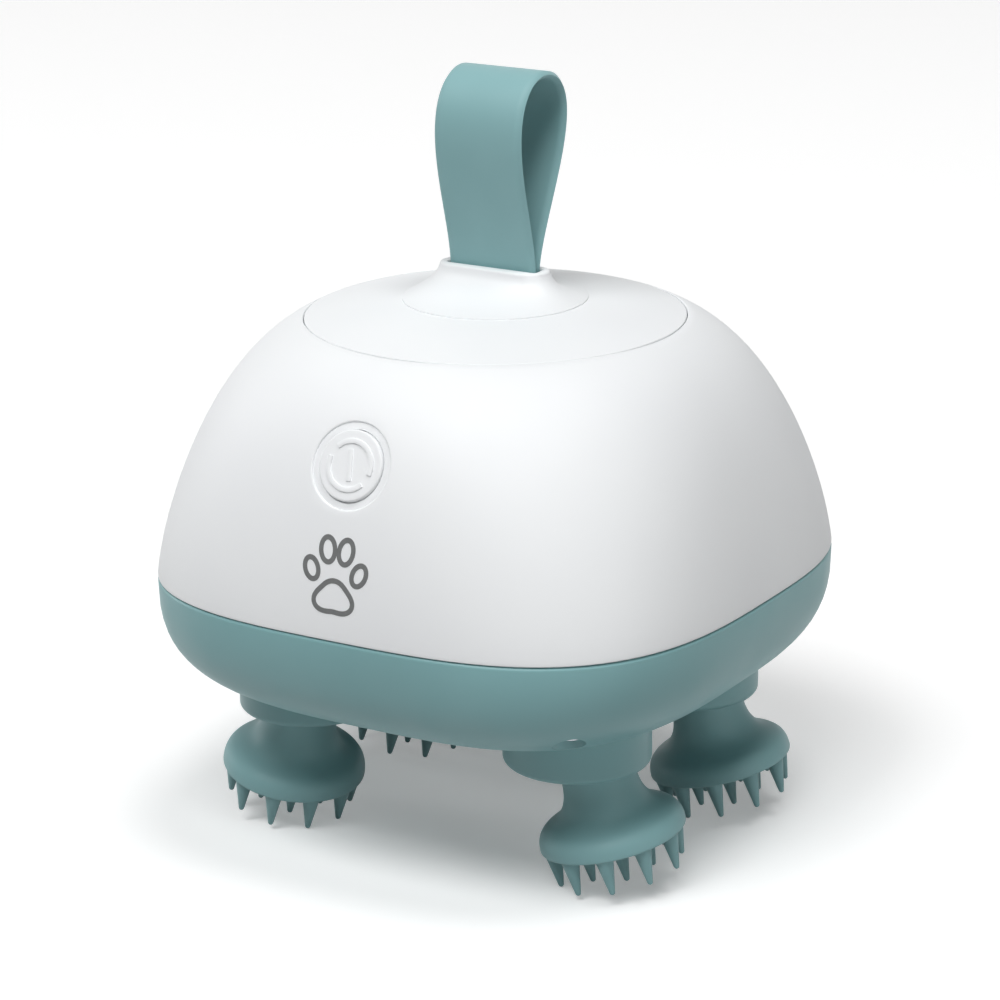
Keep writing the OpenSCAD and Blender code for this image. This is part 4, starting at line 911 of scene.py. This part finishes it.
def strap_line():
    """Middle line of the strap as (y, z): round the loop, down to the pin, round it and up again."""
    peak = strap_shape(math.acos(-strap_power / (2 + strap_power)))
    points = []
    for k in range(strap_steps + 1):
        t = 2 * math.pi * k / strap_steps
        rise = (1 - math.cos(t)) / 2
        layer = (strap_thickness + strap_layer_gap) / 2 * math.cos(t / 2)
        bulge = strap_front_bulge if k < strap_steps / 2 else strap_back_bulge
        y = strap_lean * rise ** strap_lean_power - layer - bulge * strap_shape(t) / peak
        points.append((y, mouth_z + (strap_height - strap_thickness / 2) * rise))
    tail = (strap_thickness + strap_layer_gap) / 2
    eye = pin_radius + strap_thickness / 2 + pin_play
    start = math.asin(tail / eye)
    eye_top = pin_z + eye * math.cos(start)
    drop = mouth_z - eye_top
    points += [(tail, mouth_z - drop * k / tail_steps) for k in range(1, tail_steps)]
    turn = 2 * math.pi - 2 * start
    eye_angles = [start + turn * k / eye_steps for k in range(eye_steps + 1)]
    points += [(eye * math.sin(a), pin_z + eye * math.cos(a)) for a in eye_angles]
    points += [(-tail, eye_top + drop * k / tail_steps) for k in range(1, tail_steps)]
    return [Vector((0, y, z)) for y, z in points]


line = strap_line()
section = rounded_rectangle(strap_half_width, strap_thickness / 2, strap_edge_radius, 0, section_points)
strap_rings = []
for k, spot in enumerate(line):
    along = (line[(k + 1) % len(line)] - line[k - 1]).normalized()
    side = Vector((1, 0, 0)).cross(along)
    strap_rings.append([spot + Vector((p.x, 0, 0)) + p.y * side for p in section])
strap = make_piece(mesh_from_rings(strap_rings, closed=True), "finger_loop", 60)
strap.data.materials.append(teal_silicone)
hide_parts("strap")
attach(strap, "housing")

# Power button
# A white ABS cap in a shallow ring, moulded with a raised ring and bar. It has a flange and a stem
# behind the shell, and the switch on the board pushes it back.
cap_edge = 0.36 * mm
flange_radius = 7 * mm
flange_thickness = 1 * mm
flange_depth = 3.15 * mm
stem_radius = 1.6 * mm
stem_length = 1.8 * mm
symbol_radius = 4.5 * mm
symbol_line = 0.9 * mm
symbol_height = 0.25 * mm
symbol_root = 0.2 * mm
symbol_round = 0.12 * mm
symbol_bar = 5.2 * mm
symbol_slant = math.radians(8)
symbol_break = math.radians(28)
symbol_turn = math.radians(60)
button_place = Matrix.Translation(button_centre) @ Matrix((
    (1, 0, 0, 0),
    (0, math.sin(button_tilt), -math.cos(button_tilt), 0),
    (0, math.cos(button_tilt), math.sin(button_tilt), 0),
    (0, 0, 0, 1),
))


def raised_band(points, line_width, low, high, edge):
    """Raised line through points on a flat face, with round edges and round ends."""
    mesh = bmesh.new()
    rings = []
    half = line_width / 2
    levels = [(half, low), (half, high - edge), (half - edge * 0.3, high - edge * 0.3), (half - edge, high)]
    for k, spot in enumerate(points):
        along = (points[min(k + 1, len(points) - 1)] - points[max(k - 1, 0)]).normalized()
        side = Vector((-along.y, along.x, 0))
        left = [spot + side * reach + Vector((0, 0, z)) for reach, z in levels]
        right = [spot - side * reach + Vector((0, 0, z)) for reach, z in levels[::-1]]
        rings.append(add_verts(mesh, left + right))
    for first, second in zip(rings, rings[1:]):
        bridge(mesh, first, second)
    mesh.faces.new(rings[0])
    mesh.faces.new(rings[-1])
    bmesh.ops.recalc_face_normals(mesh, faces=mesh.faces)
    return mesh


def symbol_arc(first, last, steps=30):
    radius = symbol_radius - symbol_line / 2
    angles = [first + (last - first) * k / steps for k in range(steps + 1)]
    return [Vector((radius * math.cos(a), radius * math.sin(a), 0)) for a in angles]


flange_back = -flange_depth - flange_thickness
cap_profile = [(stem_radius * 0.5, flange_back - stem_length), (stem_radius, flange_back - stem_length)]
cap_profile += [(stem_radius, flange_back), (flange_radius, flange_back)]
cap_profile += [(flange_radius, -flange_depth), (button_radius, -flange_depth)]
cap_profile += [(button_radius - cap_edge * (1 - c), -cap_edge * (1 - s)) for c, s in arc(0, 90, 5)]
cap_profile += [(button_radius * share, 0) for share in (0.85, 0.5, 0.2)]
quarter = math.pi / 2
symbol_parts = [
    symbol_arc(symbol_turn + start + symbol_break / 2, symbol_turn + start + math.pi - symbol_break / 2)
    for start in (-quarter, quarter)
]
bar_direction = Vector((-math.sin(symbol_slant), math.cos(symbol_slant), 0))
symbol_parts.append([bar_direction * symbol_bar * (k / 4 - 0.5) for k in range(5)])
symbol = join_meshes([
    raised_band(points, symbol_line, -symbol_root, symbol_height, symbol_round)
    for points in symbol_parts
])
cap = combine(lathe(cap_profile, count=96), symbol, "UNION")
cap.transform(button_place)
button = make_piece(cap, "button_cap", 30)
button.data.materials.append(white_abs)
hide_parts("power_button")
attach(button, "button")

# Printed mark
# A pad-printed paw in grey ink under the button, a few hundredths of a millimetre thick, which bends
# with the dome. A toe has its centre, half width and half height in millimetres, and its turn in degrees.
mark_centre_z = seam_z + 10.7 * mm
mark_line = 0.85 * mm
ink_thickness = 0.04 * mm
palm_radius = 3.0
palm_drop = 3.4
toe_places = [
    (-4.6, 0.9, 1.25, 1.8, 24), (-1.75, 4.3, 1.35, 2.0, 8),
    (1.75, 4.3, 1.35, 2.0, -8), (4.6, 0.9, 1.25, 1.8, -24),
]


def toe_outline(x, y, half_wide, half_tall, turn, steps=36):
    """Oval of one toe round its centre, in millimetres, turned by an angle in degrees."""
    c, s = math.cos(math.radians(turn)), math.sin(math.radians(turn))
    ring = []
    for k in range(steps):
        a = 2 * math.pi * k / steps
        u, v = half_wide * math.cos(a), half_tall * math.sin(a)
        ring.append((x + u * c - v * s, y + u * s + v * c))
    return ring


def palm_outline(steps=60):
    """Rounded heart-shaped palm, wider at its foot, in millimetres."""
    ring = []
    for k in range(steps):
        a = 2 * math.pi * k / steps
        reach = palm_radius + 0.35 * math.cos(3 * (a - math.pi / 2)) + 0.25 * math.cos(2 * a)
        ring.append((reach * 1.12 * math.cos(a), -palm_drop + reach * 0.92 * math.sin(a)))
    return ring


def ink_ribbon(mesh, outline_points):
    """Closed printed line along an outline, laid on the dome."""
    count = len(outline_points)
    rings = []
    for k in range(count):
        before = Vector(outline_points[k - 1])
        after = Vector(outline_points[(k + 1) % count])
        along = (after - before).normalized()
        side = Vector((-along.y, along.x))
        spot = Vector(outline_points[k])
        corners_here = []
        for reach, lift in ((-0.5, -0.02), (-0.5, 1), (0.5, 1), (0.5, -0.02)):
            flat = spot * mm + side * reach * mark_line
            start = Vector((flat.x, -half_width, mark_centre_z + flat.y))
            hit = surface_hit(half_width, dome_height, start, Vector((0, -1, 0)))
            corners_here.append(hit - Vector((0, lift * ink_thickness, 0)))
        rings.append(add_verts(mesh, corners_here))
    for k in range(count):
        bridge(mesh, rings[k], rings[(k + 1) % count])


mark_mesh = bmesh.new()
for toe in toe_places:
    ink_ribbon(mark_mesh, toe_outline(*toe))
ink_ribbon(mark_mesh, palm_outline())
mark = make_piece(mark_mesh, "printed_paw", 60)

# Two-part pad-printing ink: dense and flat. Its tone and gloss vary in faint blotches; the pinholes that
# the pad leaves at its edge are not drawn.
ink, ink_tree, ink_shader, ink_place = new_material("grey_ink", IOR=1.5)
ink_spots = spread(ink_tree, speckle(ink_tree, ink_place, 0.8 * mm), 0, 1)
ink_colour = blend_colours(ink_tree, ink_spots, "#666868", "#6e7070")
ink_gloss = spread(ink_tree, speckle(ink_tree, ink_place, 0.5 * mm), 0.5, 0.65)
ink_tree.links.new(ink_colour, ink_shader.inputs["Base Color"])
ink_tree.links.new(ink_gloss, ink_shader.inputs["Roughness"])
mark.data.materials.append(ink)
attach(mark, "housing")

# Charging pad
# A pale plastic pad with round ends, let into the back of the dome, and two gold-plated contacts in
# it. A magnetic plug docks on it.
pad_back = pad_low.y
contact_low, contact_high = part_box("charge_contacts")
contact_radius = (contact_high.z - contact_low.z) / 2
contact_x = contact_high.x - contact_radius
pad_face = pad_high.y
pad_flange = 2 * mm
pad_flange_thickness = 1.2 * mm
pad_edge = 0.25 * mm


def pad_ring(growth, y):
    """Ring of the pad's outline at a depth along Y."""
    outline = stadium(pad_width / 2, pad_height / 2)
    ring = []
    for k in range(96):
        x, z = outline(2 * math.pi * k / 96, growth)
        ring.append(Vector((x, y, pad_z + z)))
    return ring


facing_back = Matrix.Rotation(-math.pi / 2, 4, "X")
flange_front = pad_back + pad_flange_thickness
pad_rows = [pad_ring(pad_flange / 2, pad_back), pad_ring(pad_flange / 2, flange_front)]
pad_rows += [pad_ring(0, flange_front)]
pad_rows += [pad_ring(-pad_edge * (1 - c), pad_face - pad_edge * (1 - s)) for c, s in arc(0, 90, 4)]
contact_play = 0.02 * mm
contact_bore = contact_radius + contact_play
sockets = join_meshes([
    lathe(
        [(contact_bore, -1 * mm), (contact_bore, 6 * mm)],
        Matrix.Translation((side * contact_x, pad_back, pad_z)) @ facing_back, 40
    )
    for side in (-1, 1)
])
pad = make_piece(combine(mesh_from_rings(pad_rows), sockets, "DIFFERENCE"), "dock_pad")

# Glass-filled nylon, moulded: a little greyer than the case, with a silky grain.
pad_nylon = moulded("pad_nylon", "#d7dbdd", "#cfd3d6", 8 * mm, 0.42, 0.52, 0.25 * mm, 0.006 * mm, IOR=1.53)
pad.data.materials.append(pad_nylon)
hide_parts("charge_pad")
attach(pad, "housing")

contact_dome = 0.3 * mm
contact_length = contact_high.y - contact_low.y
contact_profile = [(contact_radius * 0.4, 0), (contact_radius, 0)]
contact_profile += [
    (contact_radius - contact_dome * (1 - c), contact_length - contact_dome * (1 - s))
    for c, s in arc(0, 90, 5)
]
contacts = make_piece(join_meshes([
    lathe(contact_profile, Matrix.Translation((side * contact_x, contact_low.y, pad_z)) @ facing_back, 48)
    for side in (-1, 1)
]), "dock_contacts")


def metal(name, colour, deeper, rough_low, rough_high, streak, depth):
    """A worked metal: its colour clouds a little, and fine marks of the tool scatter its gloss."""
    material, tree, shader, place = new_material(name, Metallic=1.0)
    clouds = spread(tree, speckle(tree, place, 3 * mm), 0, 1)
    tree.links.new(blend_colours(tree, clouds, colour, deeper), shader.inputs["Base Color"])
    marks = speckle(tree, place, streak, 4)
    tree.links.new(spread(tree, marks, rough_low, rough_high), shader.inputs["Roughness"])
    tree.links.new(bumps(tree, marks, depth), shader.inputs["Normal"])
    return material


# Gold flashed over nickel on a turned brass pin: bright, with fine turning marks.
gold_plate = metal("gold_plate", "#d8b46a", "#c9a458", 0.18, 0.30, 0.15 * mm, 0.002 * mm)
contacts.data.materials.append(gold_plate)
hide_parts("charge_contacts")
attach(contacts, "housing")

# Inner pieces
# Screws, shafts, gears, the motor, the cell and the board keep their exact shapes from the model.
# Each gets the finish of what it is made of, although the closed case hides nearly all of them.
bright_steel = metal("bright_steel", "#b9bdc1", "#a9adb2", 0.22, 0.34, 0.2 * mm, 0.002 * mm)
sintered_brass = metal("sintered_brass", "#c3a052", "#b08d45", 0.38, 0.52, 0.1 * mm, 0.006 * mm)
acetal = moulded("acetal", "#e6e2d6", "#dcd8ca", 6 * mm, 0.38, 0.48, 0.25 * mm, 0.004 * mm, IOR=1.48)
grey_nylon = moulded(
    "grey_nylon", "#5f6d70", "#586668", 6 * mm, 0.45, 0.55, 0.25 * mm, 0.006 * mm, IOR=1.53
)
black_rubber = moulded(
    "black_rubber", "#33383b", "#2c3133", 5 * mm, 0.6, 0.75, 0.25 * mm, 0.006 * mm, IOR=1.5
)
black_plastic = moulded(
    "black_plastic", "#2e3133", "#292c2e", 8 * mm, 0.4, 0.5, 0.25 * mm, 0.006 * mm, IOR=1.53
)
cell_wrap = moulded("cell_wrap", "#3c6ea5", "#37679c", 10 * mm, 0.25, 0.35, 1 * mm, 0.01 * mm, IOR=1.5)
lead_pvc = moulded("lead_pvc", "#a33a35", "#99342f", 4 * mm, 0.4, 0.5, 0.3 * mm, 0.004 * mm, IOR=1.53)

# Glass-fibre board under green solder resist: the weave of the cloth shows through as a fine check.
# At scale 1 the wave texture repeats every 0.31 m.
solder_resist, board_tree, board_shader, board_place = new_material("solder_resist", IOR=1.5, Roughness=0.3)
weave_pitch = 0.5 * mm
wave_length = 0.31
threads = [
    add_node(
        board_tree, "ShaderNodeTexWave", {"Vector": board_place, "Scale": wave_length / weave_pitch},
        bands_direction=direction
    ).outputs["Fac"]
    for direction in ("X", "Z")
]
crossing = {0: threads[0], 1: threads[1]}
weave = add_node(board_tree, "ShaderNodeMath", crossing, operation="MULTIPLY").outputs[0]
board_colour = blend_colours(board_tree, weave, "#2e6b4a", "#3a7c58")
board_tree.links.new(board_colour, board_shader.inputs["Base Color"])
board_tree.links.new(bumps(board_tree, weave, 0.01 * mm), board_shader.inputs["Normal"])

finish_of_slot = {
    "teal_abs": teal_abs, "teal_silicone": teal_silicone, "white_abs": white_abs, "pad_plastic": pad_nylon,
    "gold_plate": gold_plate, "bright_steel": bright_steel, "sintered_brass": sintered_brass,
    "acetal": acetal, "grey_nylon": grey_nylon, "black_rubber": black_rubber,
    "black_plastic": black_plastic, "cell_wrap": cell_wrap, "lead_pvc": lead_pvc,
    "circuit_board": solder_resist,
}
slot_of_node = {part["node"]: part["material_slot"] for part in frame["record"]["subparts"]}
for name, part in frame["nodes"].items():
    part.data.materials.clear()
    part.data.materials.append(finish_of_slot[slot_of_node[name]])

# Studio
# A white table in front of a white backdrop: large soft lamps stand above both shoulders of the
# camera, low at its right and low behind the case. The table keeps the case's shadow.
floor_size = 6
floor_drop = 0.05 * mm
floor_glow = 0.25
lamp_distance = 4
lamp_width = 1.6
lamps = {
    "front_lamp": (-15, 55, 0.29),
    "left_lamp": (-45, 55, 0.4),
    "top_lamp": (45, 75, 0.38),
    "back_lamp": (-120, 15, 0.15),
    "low_lamp": (45, 15, 0.13),
}


def seen_in_picture(tree):
    """One for what the camera sees, straight, in a gloss or through glass, and nothing for other light."""
    path = add_node(tree, "ShaderNodeLightPath", {}).outputs
    indirect = {0: path["Is Glossy Ray"], 1: path["Is Transmission Ray"]}
    sharp = add_node(tree, "ShaderNodeMath", indirect, operation="MAXIMUM").outputs[0]
    either = {0: path["Is Camera Ray"], 1: sharp}
    return add_node(tree, "ShaderNodeMath", either, operation="MAXIMUM").outputs[0]


floor_mesh = bmesh.new()
bmesh.ops.create_grid(floor_mesh, x_segments=8, y_segments=8, size=floor_size / 2)
floor_mesh.transform(Matrix.Translation((0, 0, cad_bounds[0].z - floor_drop)))
floor = make_piece(floor_mesh, "table")

# Matt white paint. It throws back less light than it seems to, so that the case stays dark below, and
# a little glow where it is seen lifts it to white around the shadow.
table_paint, table_tree, table_shader, _ = new_material(
    "table_paint", Roughness=0.75, Specular_IOR_Level=0.1
)
table_seen = seen_in_picture(table_tree)
table_colour = blend_colours(table_tree, table_seen, "#aeaeae", "#f4f4f4")
table_tree.links.new(table_colour, table_shader.inputs["Base Color"])
table_shader.inputs["Emission Color"].default_value = (1, 1, 1, 1)
glow = add_node(table_tree, "ShaderNodeMath", {0: table_seen, 1: floor_glow}, operation="MULTIPLY")
table_tree.links.new(glow.outputs[0], table_shader.inputs["Emission Strength"])
floor.data.materials.append(table_paint)

world = bpy.data.worlds.new("studio")
world.use_nodes = True
bpy.context.scene.world = world
sky = world.node_tree
background = sky.nodes["Background"]
background.inputs["Color"].default_value = (1, 1, 1, 1)
sky.links.new(seen_in_picture(sky), background.inputs["Strength"])


def soft_lamp(name, turn, rise, level):
    """Round lamp, turned to the right of the camera and raised above the table by angles in degrees.
    At level 1 it lights a surface that faces it as brightly as its colour is written."""
    heading = math.atan2(back.y, back.x) + math.radians(turn)
    rise = math.radians(rise)
    level_reach = math.cos(rise)
    towards = Vector((level_reach * math.cos(heading), level_reach * math.sin(heading), math.sin(rise)))
    data = bpy.data.lights.new(name, "AREA")
    data.shape = "DISK"
    data.size = lamp_width
    data.energy = level * (math.pi * lamp_distance) ** 2
    lamp = bpy.data.objects.new(name, data)
    lamp.location = camera_target + lamp_distance * towards
    lamp.rotation_mode = "QUATERNION"
    lamp.rotation_quaternion = towards.to_track_quat("Z", "Y")
    bpy.context.scene.collection.objects.link(lamp)


for name, (turn, rise, level) in lamps.items():
    soft_lamp(name, turn, rise, level)
bpy.context.scene.view_settings.view_transform = "Standard"
